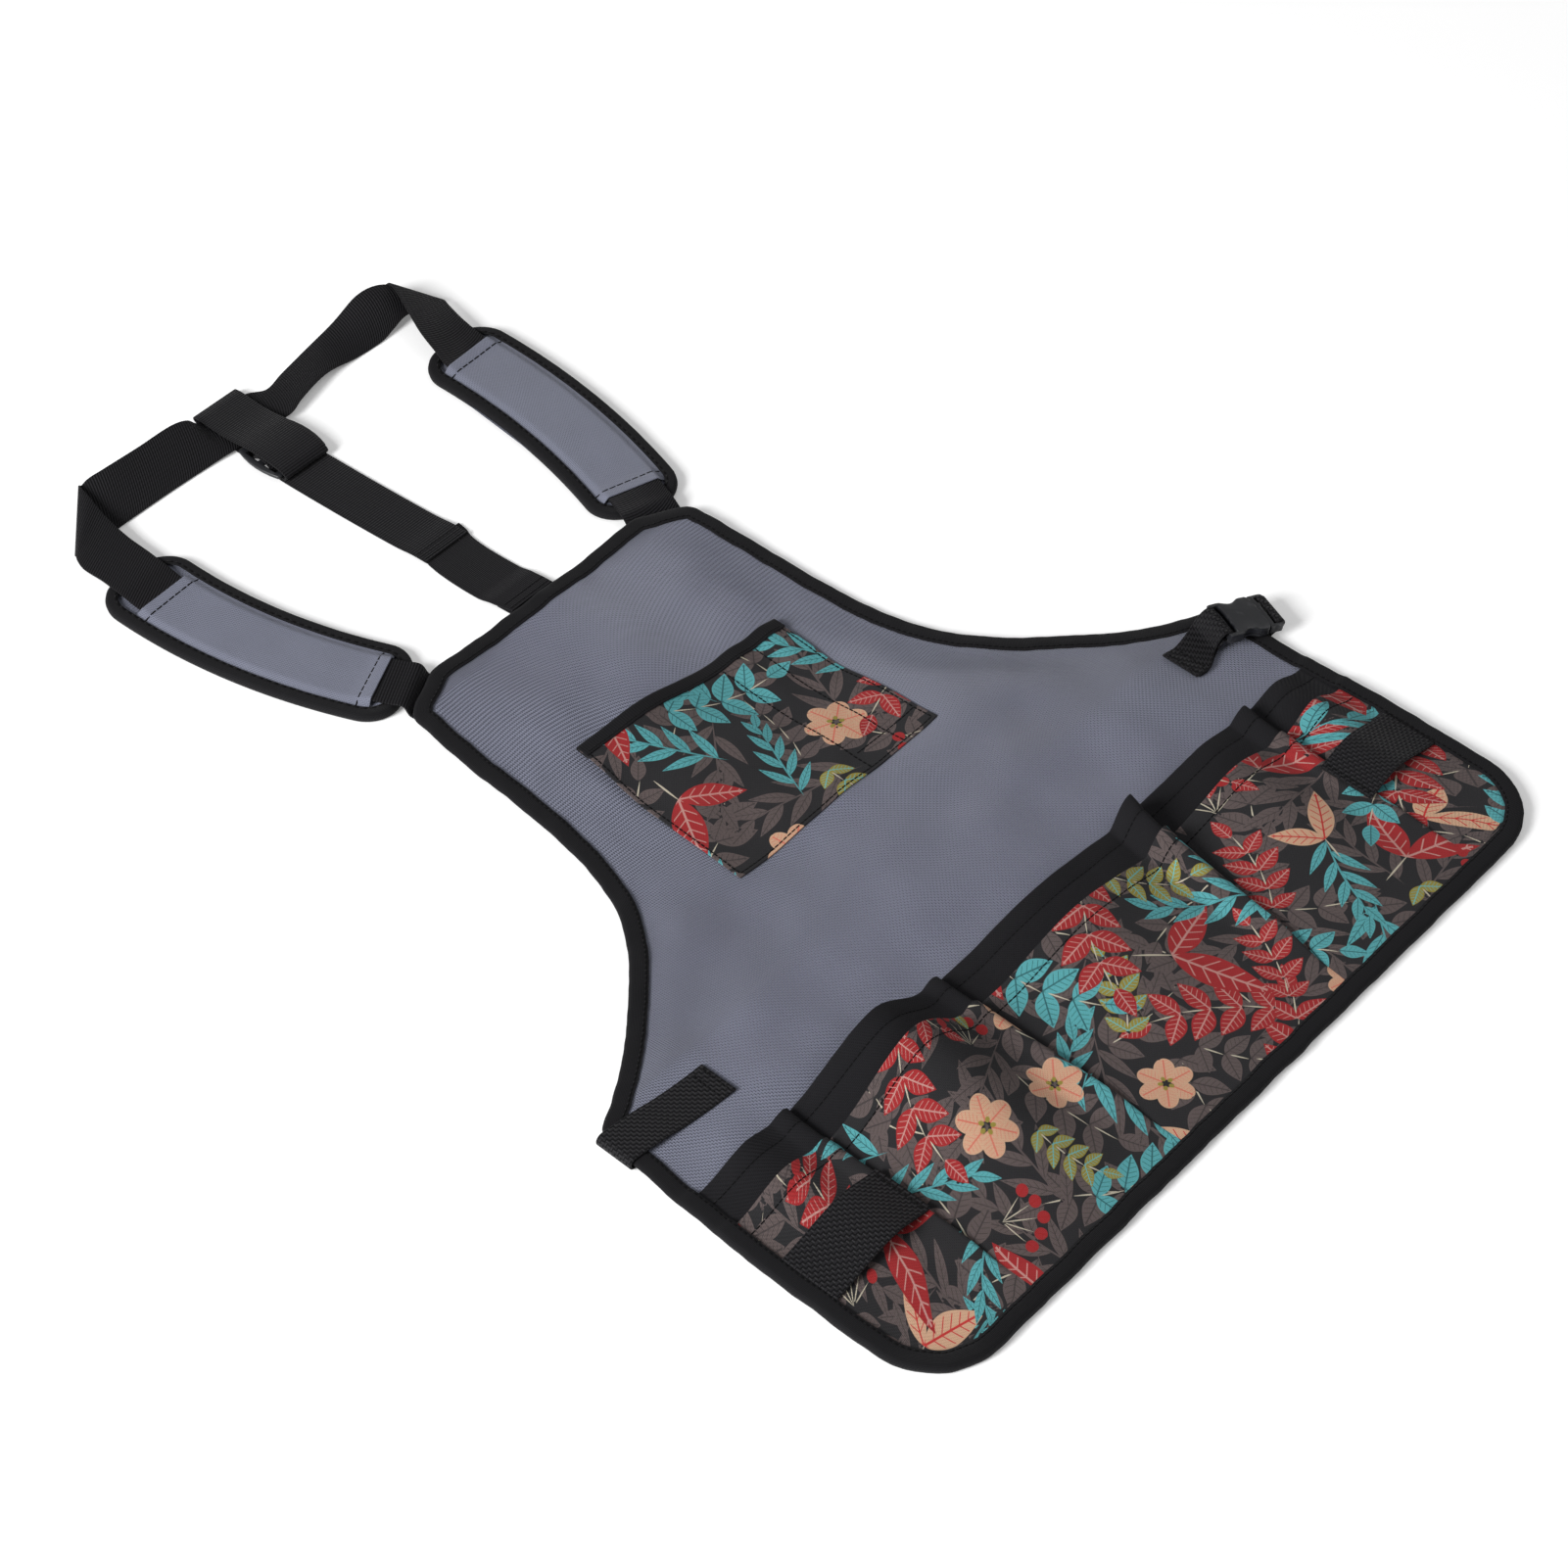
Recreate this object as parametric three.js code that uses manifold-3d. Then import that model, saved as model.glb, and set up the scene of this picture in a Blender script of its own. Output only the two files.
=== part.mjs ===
// A bib tool apron lying on its back: a grey cloth panel with a bound edge, a printed chest pocket,
// two layers of skirt pockets, webbing straps with padded shoulders, and a buckled waist belt.
// Millimetres. +X to the right, +Y from the hem to the neck, +Z up from the surface it lies on.

import * as THREE from 'three';
import { mergeVertices } from 'three/addons/utils/BufferGeometryUtils.js';
import Module from 'manifold-3d';

const wasm = await Module();
wasm.setup();

// Thicknesses and widths of the stuff it is made of
const GAP = 0.3;
const SLOT_GAP = 0.6;
const WELD = 1e-4;
const PANEL_CLOTH = 1.2;
const POCKET_CLOTH = 1.0;
const TAPE = 1.0;
const TAPE_WIDTH = 12;
const WEBBING = 1.5;
const STRAP_WIDTH = 38;
const BELT_WIDTH = 25;
const LOOP_WIDTH = 40;
const ELASTIC_WIDTH = 39;

// Half width of the apron at a height above the hem
const OUTLINE = [
  { y: 50, half: 293 },
  { y: 120, half: 293 },
  { y: 190, half: 290 },
  { y: 245, half: 286 },
  { y: 262, half: 281 },
  { y: 272, half: 262 },
  { y: 290, half: 234 },
  { y: 312, half: 207 },
  { y: 340, half: 177 },
  { y: 370, half: 156 },
  { y: 410, half: 142 },
  { y: 460, half: 135.5 },
  { y: 520, half: 132 },
  { y: 560, half: 128.5 },
  { y: 575, half: 124 },
  { y: 592, half: 90 },
];
const SKIRT_HALF = 293;
const HEM_CORNER = 50;
const BIB_TOP = 592;
const CLOTH_INSET = 2.2;
const HEM_TILT = 0.018;
const HEM_TILT_REACH = 230;
const CORNER_TURNS = [-90, -67.5, -45, -22.5];
const SIDE_ROWS = [50, 72, 95, 118, 140, 162, 177, 192, 206, 225, 245, 262, 272, 290, 312, 340, 370, 410,
  450, 490, 530, 560, 575];
const HEM_COLUMNS = [0, 60, 120, 180];
const BIB_COLUMNS = [72, 54, 36, 18];
const PANEL_COLUMNS = 14;
const BINDING_STEPS = { back: 192, front: 162 };

// Low swells of the cloth, and the straps that lift it from below
const SWELLS = [
  { x: -190, y: 310, across: 120, along: 95, height: 3.5 },
  { x: 150, y: 320, across: 110, along: 105, height: 4 },
  { x: 70, y: 505, across: 100, along: 95, height: 3 },
  { x: -75, y: 480, across: 95, along: 110, height: 2.5 },
];
const STRAP_LIFT = 2.6;
const STRAP_EASE = 62;
const BACK_LIFT = { from: 180, run: 70 };
const BELT_Y = 242;
const BIB_CORNER = { x: 107, y: 584, reach: 85, lift: 4.5 };

// Skirt pockets: where the seams run, and how far each layer stands off at its mouth
const BACK_MOUTH = 190;
const FRONT_MOUTH = 160;
const POCKET_FOOT = 12;
const SEAMS = [
  { hem: -201, mouth: -203, backPleat: 4, frontPleat: 4 },
  { hem: -65, mouth: -72, backPleat: 5, frontPleat: 6 },
  { hem: 91, mouth: 110, backPleat: 16, frontPleat: 13 },
  { hem: 222, mouth: 224, backPleat: 8, frontPleat: 7 },
];
const COMPARTMENTS = [
  { back: 7, front: 12, peak: 0.5, fall: 2 },
  { back: 28, front: 37, peak: 0.55, fall: 1.3 },
  { back: 8, front: 16, peak: 0.5, fall: 1.3 },
  { back: 8, front: 15, peak: 0.55, fall: 1.3 },
  { back: 7, front: 12, peak: 0.5, fall: 2 },
];
const COMPARTMENT_STEPS = [0, 0.06, 0.14, 0.3, 0.5, 0.7, 0.86, 0.94];
const PLEAT_RISE = 16;
const PLEAT_DROP = 7;
const PLEAT_FALL = 3;
const POCKET_INSET = 13.5;
const BACK_ROWS = [50, 80, 110, 138, 160, 177, BACK_MOUTH];
const FRONT_ROWS = [50, 80, 110, 138, FRONT_MOUTH];

// Chest pocket with its two pen slots
const CHEST = { half: 89, drawn: 4, foot: 329.5, mouth: 465.5, tape: 9, fall: 1.5 };
const CHEST_TILT = { foot: -0.013, mouth: -0.053 };
const CHEST_HEM = { rise: 1.6, from: 0.6, run: 0.3 };
const CHEST_CORNER = { rise: 7, reach: 60, fall: 3 };
const CHEST_ROWS = [0, 0.04, 0.25, 0.5, 0.75, 0.94, 1];
const CHEST_SLOTS = [
  { from: -89, to: 31, lift: 10, peak: 0.4, steps: [0, 0.1, 0.25, 0.4, 0.6, 0.8, 0.92] },
  { from: 31, to: 61, lift: 6.5, peak: 0.5, steps: [0, 0.3, 0.5, 0.7] },
  { from: 61, to: 89, lift: 7.4, peak: 0.5, steps: [0, 0.3, 0.5, 0.7] },
];

// Webbing loops across the small side pockets
const LOOP = { y: 105, leftSeam: 201, rightSeam: 214, edge: 280.4, sewnRise: 5 };
const LOOP_ARCH = { rise: 10.5, peak: 0.4, round: 0.8, steps: 12 };

// Shoulder pads: each follows an arc from its lower end, heading and turn in degrees
const PAD = { length: 214, half: 33, corner: 23, tape: 8.5, rim: 3, cloth: 1.0, inset: 2 };
const PAD_BELLY = { drop: 0.9, half: 14, margin: 1 };
const PAD_CLEAR = 0.5;
const PAD_DIVE = { from: 10, run: 24 };
const LEFT_PAD_ROWS = [-3, 6, 14, 22, 32, 60, 106, 154, 182, 192, 200, 208, 217];
const RIGHT_PAD_ROWS = [192, 182, 154, 106, 60, 32, 22, 14, 6, -3];
const PAD_PLACES = [
  { side: 'left', x: -110.5, y: 593.5, heading: 118, turn: -30, hemLow: 17, hemHigh: 32 },
  { side: 'right', x: 107.5, y: 594.5, heading: 71, turn: 24, hemLow: 17, hemHigh: 20 },
];
const PAD_TURNS = [0, 30, 60, 90];
const PAD_STEPS = 9;
const COVER_SPACING = 5;

// Neck strap: the two edges of its width at each section outside the pads, as x, y, z
const LEFT_ROOT = [
  { near: [-107, 545, 0.9], far: [-74, 563, 0.9] },
  { near: [-116, 561, 0.9], far: [-82, 579, 0.9] },
  { near: [-124.5, 576, 1.6], far: [-90.5, 594, 1.6] },
];
const BACK_OF_NECK = [
  { near: [-177.5, 821.5, 7.6], far: [-139, 822, 8.4] },
  { near: [-174.5, 831, 7], far: [-137, 846, 10.5] },
  { near: [-172, 835, 5.8], far: [-134, 865, 14.5] },
  { near: [-171, 836.6, 3.8], far: [-131.5, 876, 14] },
  { near: [-168, 837.5, 1.8], far: [-129, 877.3, 11.5] },
  { near: [-150, 838, 0.9], far: [-123.5, 877, 13.5] },
  { near: [-120, 838.5, 0.9], far: [-113, 874, 16.5] },
  { near: [-86, 838.5, 0.9], far: [-83, 874, 15] },
  { near: [-56, 837.5, 1.2], far: [-51, 874, 14] },
  { near: [-42, 836.3, 2.2], far: [-40.5, 872.8, 11] },
  { near: [-33, 835.4, 2.7], far: [-32.5, 872.2, 3.4] },
  { near: [-12, 835, 2.7], far: [-12, 872, 2.7] },
  { near: [8.5, 834, 3], far: [9.5, 870, 2.6] },
  { near: [16.5, 832, 5.4], far: [22, 864.2, 1.4] },
  { near: [28, 835, 7.5], far: [40, 868, 1.6] },
  { near: [58, 842, 6.5], far: [72, 875, 0.9] },
  { near: [86, 842.5, 1.4], far: [97.5, 877, 5.5] },
  { near: [110, 842, 1], far: [115.5, 876.3, 14.5] },
  { near: [121, 843, 3.6], far: [121.5, 875.5, 16.4] },
  { near: [133.5, 844, 6.6], far: [127.5, 874.5, 17] },
  { near: [146, 842.5, 5.2], far: [134, 872.5, 16.8] },
  { near: [156, 840.8, 3.4], far: [138, 870.8, 16] },
  { near: [161.5, 839.5, 3.6], far: [140.3, 869.8, 15.4] },
  { near: [163, 837.5, 5.2], far: [141.3, 868.2, 16.6] },
  { near: [162, 834.5, 6.8], far: [140.5, 864.5, 18] },
  { near: [160, 828.5, 7.5], far: [136, 852.5, 18.6] },
  { near: [157.8, 820, 7.9], far: [129.2, 836.5, 18.2] },
  { near: [156, 811.5, 8.1], far: [121.3, 816, 15.8] },
  { near: [154.6, 801, 7.95], far: [117.8, 797.5, 10.6] },
  { near: [153.8, 792.6, 7.76], far: [116.2, 790, 8.2] },
];
const RIGHT_ROOT = [
  { near: [123.5, 576.5, 1.8], far: [88, 592, 1.8] },
  { near: [117, 563, 0.9], far: [82, 578, 0.9] },
  { near: [107, 548, 0.9], far: [72, 561, 0.9] },
];
const NECK_STEPS = 120;

// Back strap, from the loop over the neck strap down to the waist belt
const BACK_LINE = [
  { y: 580, x: 2 },
  { y: 640, x: -2 },
  { y: 672, x: -4 },
  { y: 790, x: -12 },
  { y: 880, x: -12 },
];
const ELASTIC = { from: 594, past: 609, ease: 12, rows: [645, 678] };
const LOWER = { from: 229.5, past: 257.5, ease: 16, rows: [340, 430, 520, 606] };
const LOOP_ROUTE = [
  { y: 666, z: 2.55 },
  { y: 679, z: 2.45 },
  { y: 691, z: 1.2 },
  { y: 704, z: 0.8 },
  { y: 745, z: 0.75 },
  { y: 785, z: 0.75 },
  { y: 794, z: 0.85 },
  { y: 799.5, z: 2.2 },
  { y: 803.5, z: 5.0 },
  { y: 807.5, z: 7.65 },
  { y: 811, z: 8.1 },
  { y: 814.5, z: 7.65 },
  { y: 818.5, z: 5.0 },
  { y: 822.5, z: 2.2 },
  { y: 828, z: 0.85 },
  { y: 837, z: 0.75 },
  { y: 862, z: 0.75 },
  { y: 872, z: 0.85 },
  { y: 877, z: 2.1 },
  { y: 877.5, z: 3.8 },
  { y: 873, z: 5.2 },
  { y: 864, z: 5.4 },
  { y: 850, z: 5.6 },
  { y: 838, z: 7.2 },
  { y: 827, z: 9.4 },
  { y: 811, z: 10.4 },
  { y: 799, z: 9.6 },
  { y: 791.5, z: 8.1 },
  { y: 788.3, z: 5.6 },
  { y: 789.6, z: 3.2 },
  { y: 793, z: 2.6 },
];
const LOOP_STEPS = 60;
const SLIDER = { y: 811, width: 49, length: 38, bow: 3, bar: 5, slot: 39.2, thick: 2.8, bottom: 3.75 };
const SLIDER_SEGMENTS = 6;

// Waist belt, doubled tab and side-release buckle
const BELT_FRONT = { rows: [-211, -226, -240, -250], over: -260, fold: -286, steps: 8 };
const BELT_SLANT = { rise: 2, slope: -0.114 };
const BELT_UNDER = [
  { x: -240, y: 242 },
  { x: -120, y: 242 },
  { x: 0, y: 242 },
  { x: 120, y: 243 },
  { x: 190, y: 245 },
  { x: 225, y: 246 },
  { x: 250, y: 244.3 },
  { x: 270, y: 240.9 },
  { x: 291.5, y: 234.8 },
];
const BELT_BEND = { from: 190, run: 70 };
const BELT_RISE = [{ x: -4, z: -7.15 }, { x: -0.6, z: -4.45 }];
const BELT_TURN = { from: -55, to: 90, steps: 7 };
const BELT_TUCK = [{ x: -1.6, z: 3.05 }, { x: -3.3, z: 1.85 }];
const TAB = { x: 227, y: 246, doubled: 12, sag: 0.7, inset: 3, steps: 8 };
const TAB_BELOW = [{ x: -9.5, z: -10.9 }, { x: -6.2, z: -5.2 }, { x: -3.2, z: -3.15 }];
const TAB_ABOVE = [{ x: -3.2, z: 3.15 }, { x: -8, z: -0.2 }, { x: -11.8, z: -7.8 }];
const TAB_TURN = { from: -90, to: 90, steps: 8 };
const BUCKLE = { x: 264.5, y: 245.5, z: 16.8, yaw: -20, pitch: -10.5 };
const FEMALE = { half: 15.5, thick: 8.6, slot: 4, body: 24.2, wall: 2.6, plate: 1.9, floor: 2, window: 6 };
const MALE = { half: 15.2, thick: 7.6, base: 3, slot: 4.2, arm: 3, reach: 18, root: 1, guide: 6 };
const BAR = { width: 3.2, thick: 3, turn: 3.15, clear: 1 };

const GREY_CLOTH = new THREE.MeshStandardMaterial({ color: 0x5e6370, roughness: 0.85, metalness: 0 });
const PRINT_CLOTH = new THREE.MeshStandardMaterial({ color: 0x6a2a28, roughness: 0.85, metalness: 0 });
const BLACK_CLOTH = new THREE.MeshStandardMaterial({ color: 0x17171a, roughness: 0.8, metalness: 0 });
const BLACK_TAPE = new THREE.MeshStandardMaterial({ color: 0x131316, roughness: 0.75, metalness: 0 });
const BLACK_WEBBING = new THREE.MeshStandardMaterial({ color: 0x0f0f11, roughness: 0.8, metalness: 0 });
const DARK_PLASTIC = new THREE.MeshStandardMaterial({ color: 0x202226, roughness: 0.45, metalness: 0 });

const apron = new THREE.Group();
const layout = new THREE.Group();
apron.add(layout);

function add(name, geometry, material, parent = layout) {
  const mesh = new THREE.Mesh(geometry, material);
  mesh.name = name;
  parent.add(mesh);
}

// Shape functions

const smooth = (t) => THREE.MathUtils.smoothstep(t, 0, 1);
const hump = (r) => (Math.abs(r) < 1 ? (1 - r * r) ** 2 : 0);
const point = (x, y, z) => new THREE.Vector3(x, y, z);

// A bell over 0..1 that is level at both ends and highest at its peak.
const bell = (t, peak) => (t < peak ? smooth(t / peak) : smooth((1 - t) / (1 - peak)));

// A smooth curve through the rows of a table, read from one named column to another.
function lookup(rows, key, value, at) {
  const last = rows.length - 1;
  const x = THREE.MathUtils.clamp(at, rows[0][key], rows[last][key]);
  let i = 0;
  while (i < last - 1 && x > rows[i + 1][key]) i += 1;
  const slope = (k) => {
    const before = rows[Math.max(k - 1, 0)];
    const after = rows[Math.min(k + 1, last)];
    return (after[value] - before[value]) / (after[key] - before[key]);
  };
  const run = rows[i + 1][key] - rows[i][key];
  const t = (x - rows[i][key]) / run;
  const ease = t * t * (3 - 2 * t);
  const bend = (t ** 3 - 2 * t * t + t) * slope(i) + (t ** 3 - t * t) * slope(i + 1);
  return (1 - ease) * rows[i][value] + ease * rows[i + 1][value] + run * bend;
}

const backX = (y) => lookup(BACK_LINE, 'y', 'x', y);

// Height of the underside of the cloth above the surface.
function ground(x, y) {
  const belt = hump((y - BELT_Y) / STRAP_EASE);
  const back = hump((x - backX(y)) / STRAP_EASE) * smooth((y - BACK_LIFT.from) / BACK_LIFT.run);
  const corner = hump(Math.hypot(Math.abs(x) - BIB_CORNER.x, y - BIB_CORNER.y) / BIB_CORNER.reach);
  const lifted = Math.hypot(STRAP_LIFT * belt, STRAP_LIFT * back, BIB_CORNER.lift * corner);
  const swell = (s) => s.height * hump(Math.hypot((x - s.x) / s.across, (y - s.y) / s.along));
  return lifted + SWELLS.reduce((sum, s) => sum + swell(s), 0);
}

// Half width of the apron, drawn in by a distance square to its edge.
function halfWidth(y, inset) {
  if (y < HEM_CORNER) {
    const radius = HEM_CORNER - inset;
    return SKIRT_HALF - HEM_CORNER + Math.sqrt(Math.max(radius ** 2 - (HEM_CORNER - y) ** 2, 0));
  }
  const half = lookup(OUTLINE, 'y', 'half', y);
  const slope = lookup(OUTLINE, 'y', 'half', y + 0.5) - lookup(OUTLINE, 'y', 'half', y - 0.5);
  return half - inset * Math.hypot(1, slope);
}

// A closed solid from points and triangles, with its faces turned outwards.
function solid(points, faces) {
  let volume = 0;
  for (const [a, b, c] of faces) volume += points[a].dot(points[b].clone().cross(points[c]));
  const turned = volume < 0 ? faces.map(([a, b, c]) => [a, c, b]) : faces;
  const geometry = new THREE.BufferGeometry().setFromPoints(points);
  geometry.setIndex(turned.flat());
  geometry.computeVertexNormals();
  return geometry;
}

// Cloth or webbing of an even thickness about a grid of points on its middle surface.
function slab(grid, thickness) {
  const rows = grid.length;
  const columns = grid[0].length;
  const sides = [[], []];
  for (let i = 0; i < rows; i += 1) {
    for (let j = 0; j < columns; j += 1) {
      const along = grid[Math.min(i + 1, rows - 1)][j].clone().sub(grid[Math.max(i - 1, 0)][j]);
      const across = grid[i][Math.min(j + 1, columns - 1)].clone().sub(grid[i][Math.max(j - 1, 0)]);
      const offset = across.cross(along).setLength(thickness / 2);
      sides[0].push(grid[i][j].clone().add(offset));
      sides[1].push(grid[i][j].clone().sub(offset));
    }
  }
  const count = rows * columns;
  const faces = [];
  const quad = (a, b, c, d) => faces.push([a, b, c], [a, c, d]);
  for (let i = 0; i < rows - 1; i += 1) {
    for (let j = 0; j < columns - 1; j += 1) {
      const a = i * columns + j;
      quad(a, a + 1, a + columns + 1, a + columns);
      quad(count + a, count + a + columns, count + a + columns + 1, count + a + 1);
    }
  }
  const rim = [];
  for (let j = 0; j < columns - 1; j += 1) rim.push(j);
  for (let i = 0; i < rows - 1; i += 1) rim.push(i * columns + columns - 1);
  for (let j = columns - 1; j > 0; j -= 1) rim.push((rows - 1) * columns + j);
  for (let i = rows - 1; i > 0; i -= 1) rim.push(i * columns);
  rim.forEach((a, k) => {
    const b = rim[(k + 1) % rim.length];
    quad(a, count + a, count + b, b);
  });
  return solid(sides.flat(), faces);
}

// A solid swept through rings of equal count; an open sweep is capped with the ring's own outline.
function sweep(rings, outline = null) {
  const size = rings[0].length;
  const faces = [];
  const steps = outline ? rings.length - 1 : rings.length;
  for (let i = 0; i < steps; i += 1) {
    const next = (i + 1) % rings.length;
    for (let k = 0; k < size; k += 1) {
      const a = i * size + k;
      const b = i * size + ((k + 1) % size);
      const c = next * size + ((k + 1) % size);
      const d = next * size + k;
      faces.push([a, b, c], [a, c, d]);
    }
  }
  if (outline) {
    const last = (rings.length - 1) * size;
    for (const [a, b, c] of THREE.ShapeUtils.triangulateShape(outline, [])) {
      faces.push([a, c, b], [last + a, last + b, last + c]);
    }
  }
  return solid(rings.flat(), faces);
}

// Folded tape: a C section, as inset from the edge and height, around what it binds.
function foldedTape(width, bottom, slotTop) {
  return [
    [0, bottom], [width, bottom], [width, bottom + TAPE], [TAPE, bottom + TAPE],
    [TAPE, slotTop], [width, slotTop], [width, slotTop + TAPE], [0, slotTop + TAPE],
  ];
}

// Unit vectors out of a closed counterclockwise outline, lengthened at its corners.
function outwards(outline) {
  const count = outline.length;
  return outline.map((p, i) => {
    const before = p.clone().sub(outline[(i + count - 1) % count]).normalize();
    const after = outline[(i + 1) % count].clone().sub(p).normalize();
    const first = new THREE.Vector2(before.y, -before.x);
    const out = first.clone().add(new THREE.Vector2(after.y, -after.x)).normalize();
    return out.divideScalar(out.dot(first));
  });
}

// A strap through the two edges of its width at each section, kept on the surface it lies on.
function edgedStrap(sections, steps, thickness) {
  const edges = ['near', 'far'].map((side) => {
    const places = sections.map((section) => point(...section[side]));
    return new THREE.CatmullRomCurve3(places, false, 'centripetal');
  });
  const grid = Array.from({ length: steps + 1 }, (_, i) => edges.map((curve) => {
    const p = curve.getPoint(i / steps);
    return p.setZ(Math.max(p.z, thickness / 2));
  }));
  return slab(grid, thickness);
}

// A strap whose width stays level along one direction while its centre follows a route.
function levelStrap(route, across, width, thickness) {
  const grid = route.map((p) => [-width / 2, width / 2].map((v) => p.clone().addScaledVector(across, v)));
  return slab(grid, thickness);
}

// Points along a smooth curve through a route.
function eased(route, steps) {
  return new THREE.CatmullRomCurve3(route, false, 'centripetal').getPoints(steps);
}

function asManifold(geometry) {
  const bare = geometry.clone();
  bare.deleteAttribute('normal');
  bare.deleteAttribute('uv');
  const merged = mergeVertices(bare, WELD);
  const triVerts = Uint32Array.from(merged.index.array);
  const vertProperties = merged.attributes.position.array;
  return new wasm.Manifold(new wasm.Mesh({ numProp: 3, vertProperties, triVerts }));
}

function asGeometry(manifold) {
  const mesh = manifold.getMesh();
  const geometry = new THREE.BufferGeometry();
  geometry.setAttribute('position', new THREE.BufferAttribute(mesh.vertProperties, 3));
  geometry.setIndex(new THREE.BufferAttribute(mesh.triVerts, 1));
  geometry.computeVertexNormals();
  return geometry;
}

// Panel and its binding

const PANEL_TOP = TAPE + SLOT_GAP + PANEL_CLOTH;
const BACK_LEVEL = PANEL_TOP + GAP + POCKET_CLOTH / 2;
const FRONT_LEVEL = BACK_LEVEL + POCKET_CLOTH + GAP;

function panel() {
  const turned = CORNER_TURNS.map((turn) => {
    return HEM_CORNER + (HEM_CORNER - CLOTH_INSET) * Math.sin(THREE.MathUtils.degToRad(turn));
  });
  const rows = [...turned, ...SIDE_ROWS, BIB_TOP - CLOTH_INSET];
  const grid = rows.map((y) => {
    const half = halfWidth(y, CLOTH_INSET);
    return Array.from({ length: PANEL_COLUMNS + 1 }, (_, j) => {
      const x = half * (2 * j / PANEL_COLUMNS - 1);
      return point(x, y, ground(x, y) + PANEL_TOP - PANEL_CLOTH / 2);
    });
  });
  return slab(grid, PANEL_CLOTH);
}

// The right half of the edge from the hem's middle to the bib's middle, then its mirror image.
function edge() {
  const flat = SKIRT_HALF - HEM_CORNER;
  const right = [...HEM_COLUMNS, flat].map((x) => new THREE.Vector2(x, 0));
  for (const turn of CORNER_TURNS.slice(1)) {
    const angle = THREE.MathUtils.degToRad(turn);
    right.push(new THREE.Vector2(flat + HEM_CORNER * Math.cos(angle), HEM_CORNER * (1 + Math.sin(angle))));
  }
  for (const y of SIDE_ROWS) right.push(new THREE.Vector2(halfWidth(y, 0), y));
  for (const x of [halfWidth(BIB_TOP, 0), ...BIB_COLUMNS]) right.push(new THREE.Vector2(x, BIB_TOP));
  const left = right.slice(1).reverse().map((p) => new THREE.Vector2(-p.x, p.y));
  return [...right, new THREE.Vector2(0, BIB_TOP), ...left];
}

// Top of the cloth layers inside the binding: the panel alone, then with one or two pocket layers.
function slotTop(y) {
  const layers = (y <= BINDING_STEPS.back ? 1 : 0) + (y <= BINDING_STEPS.front ? 1 : 0);
  return PANEL_TOP + SLOT_GAP + layers * (POCKET_CLOTH + GAP);
}

function binding() {
  const outline = edge();
  const out = outwards(outline);
  return sweep(outline.map((p, i) => foldedTape(TAPE_WIDTH, 0, slotTop(p.y)).map(([inset, height]) => {
    const at = p.clone().addScaledVector(out[i], -inset);
    return point(at.x, at.y, ground(at.x, at.y) + height);
  })));
}

// Skirt pockets

const seamX = (seam, y) => THREE.MathUtils.lerp(seam.hem, seam.mouth, y / BACK_MOUTH);

// How far a pocket layer stands off at a place in a compartment: its bulge, and the pleats at its seams.
function standOff(x, y, index, share, layer, mouth) {
  const rise = Math.max((y - POCKET_FOOT) / (mouth - POCKET_FOOT), 0);
  const room = COMPARTMENTS[index];
  const bulge = room[layer] * bell(share, room.peak) * rise ** room.fall;
  const pleat = (seam) => {
    const from = x - seamX(seam, y) + PLEAT_DROP;
    return seam[`${layer}Pleat`] * hump(from / (from < 0 ? PLEAT_RISE : PLEAT_DROP)) * rise ** PLEAT_FALL;
  };
  return Math.max(bulge, ...SEAMS.map(pleat));
}

function pocketLayer(layer, mouth, sideRows, height) {
  const turned = CORNER_TURNS.map((turn) => {
    return HEM_CORNER + (HEM_CORNER - CLOTH_INSET) * Math.sin(THREE.MathUtils.degToRad(turn));
  });
  const grid = [...turned, ...sideRows].map((y) => {
    const side = halfWidth(y, CLOTH_INSET);
    const inner = halfWidth(y, POCKET_INSET);
    const seams = SEAMS.map((seam) => THREE.MathUtils.clamp(seamX(seam, y), -inner, inner));
    const bounds = [-inner, ...seams, inner];
    const row = [point(-side, y, ground(-side, y) + height)];
    COMPARTMENTS.forEach((_, k) => {
      for (const share of COMPARTMENT_STEPS) {
        const x = THREE.MathUtils.lerp(bounds[k], bounds[k + 1], share);
        row.push(point(x, y, ground(x, y) + height + standOff(x, y, k, share, layer, mouth)));
      }
    });
    row.push(point(inner, y, ground(inner, y) + height), point(side, y, ground(side, y) + height));
    return row;
  });
  return slab(grid, POCKET_CLOTH);
}

// Chest pocket: sewn down its sides, foot and pen slots, open at its mouth

function chestPoint(across, share, slot) {
  const wide = 1 - CHEST.drawn / CHEST.half * share;
  const x = wide * THREE.MathUtils.lerp(slot.from, slot.to, across);
  const foot = CHEST.foot + CHEST_TILT.foot * x;
  const mouth = CHEST.mouth + CHEST_TILT.mouth * x;
  const y = THREE.MathUtils.lerp(foot, mouth, share);
  const towards = hump((x + CHEST.half) / CHEST_CORNER.reach);
  const corner = CHEST_CORNER.rise * towards * share ** CHEST_CORNER.fall;
  const hem = CHEST_HEM.rise * smooth((share - CHEST_HEM.from) / CHEST_HEM.run);
  const off = slot.lift * bell(across, slot.peak) * share ** CHEST.fall + hem + corner;
  return point(x, y, ground(x, y) + PANEL_TOP + 2 * GAP + POCKET_CLOTH / 2 + off);
}

function chestRow(share) {
  const row = CHEST_SLOTS.flatMap((slot) => slot.steps.map((across) => chestPoint(across, share, slot)));
  return [...row, chestPoint(1, share, CHEST_SLOTS[2])];
}

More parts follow.
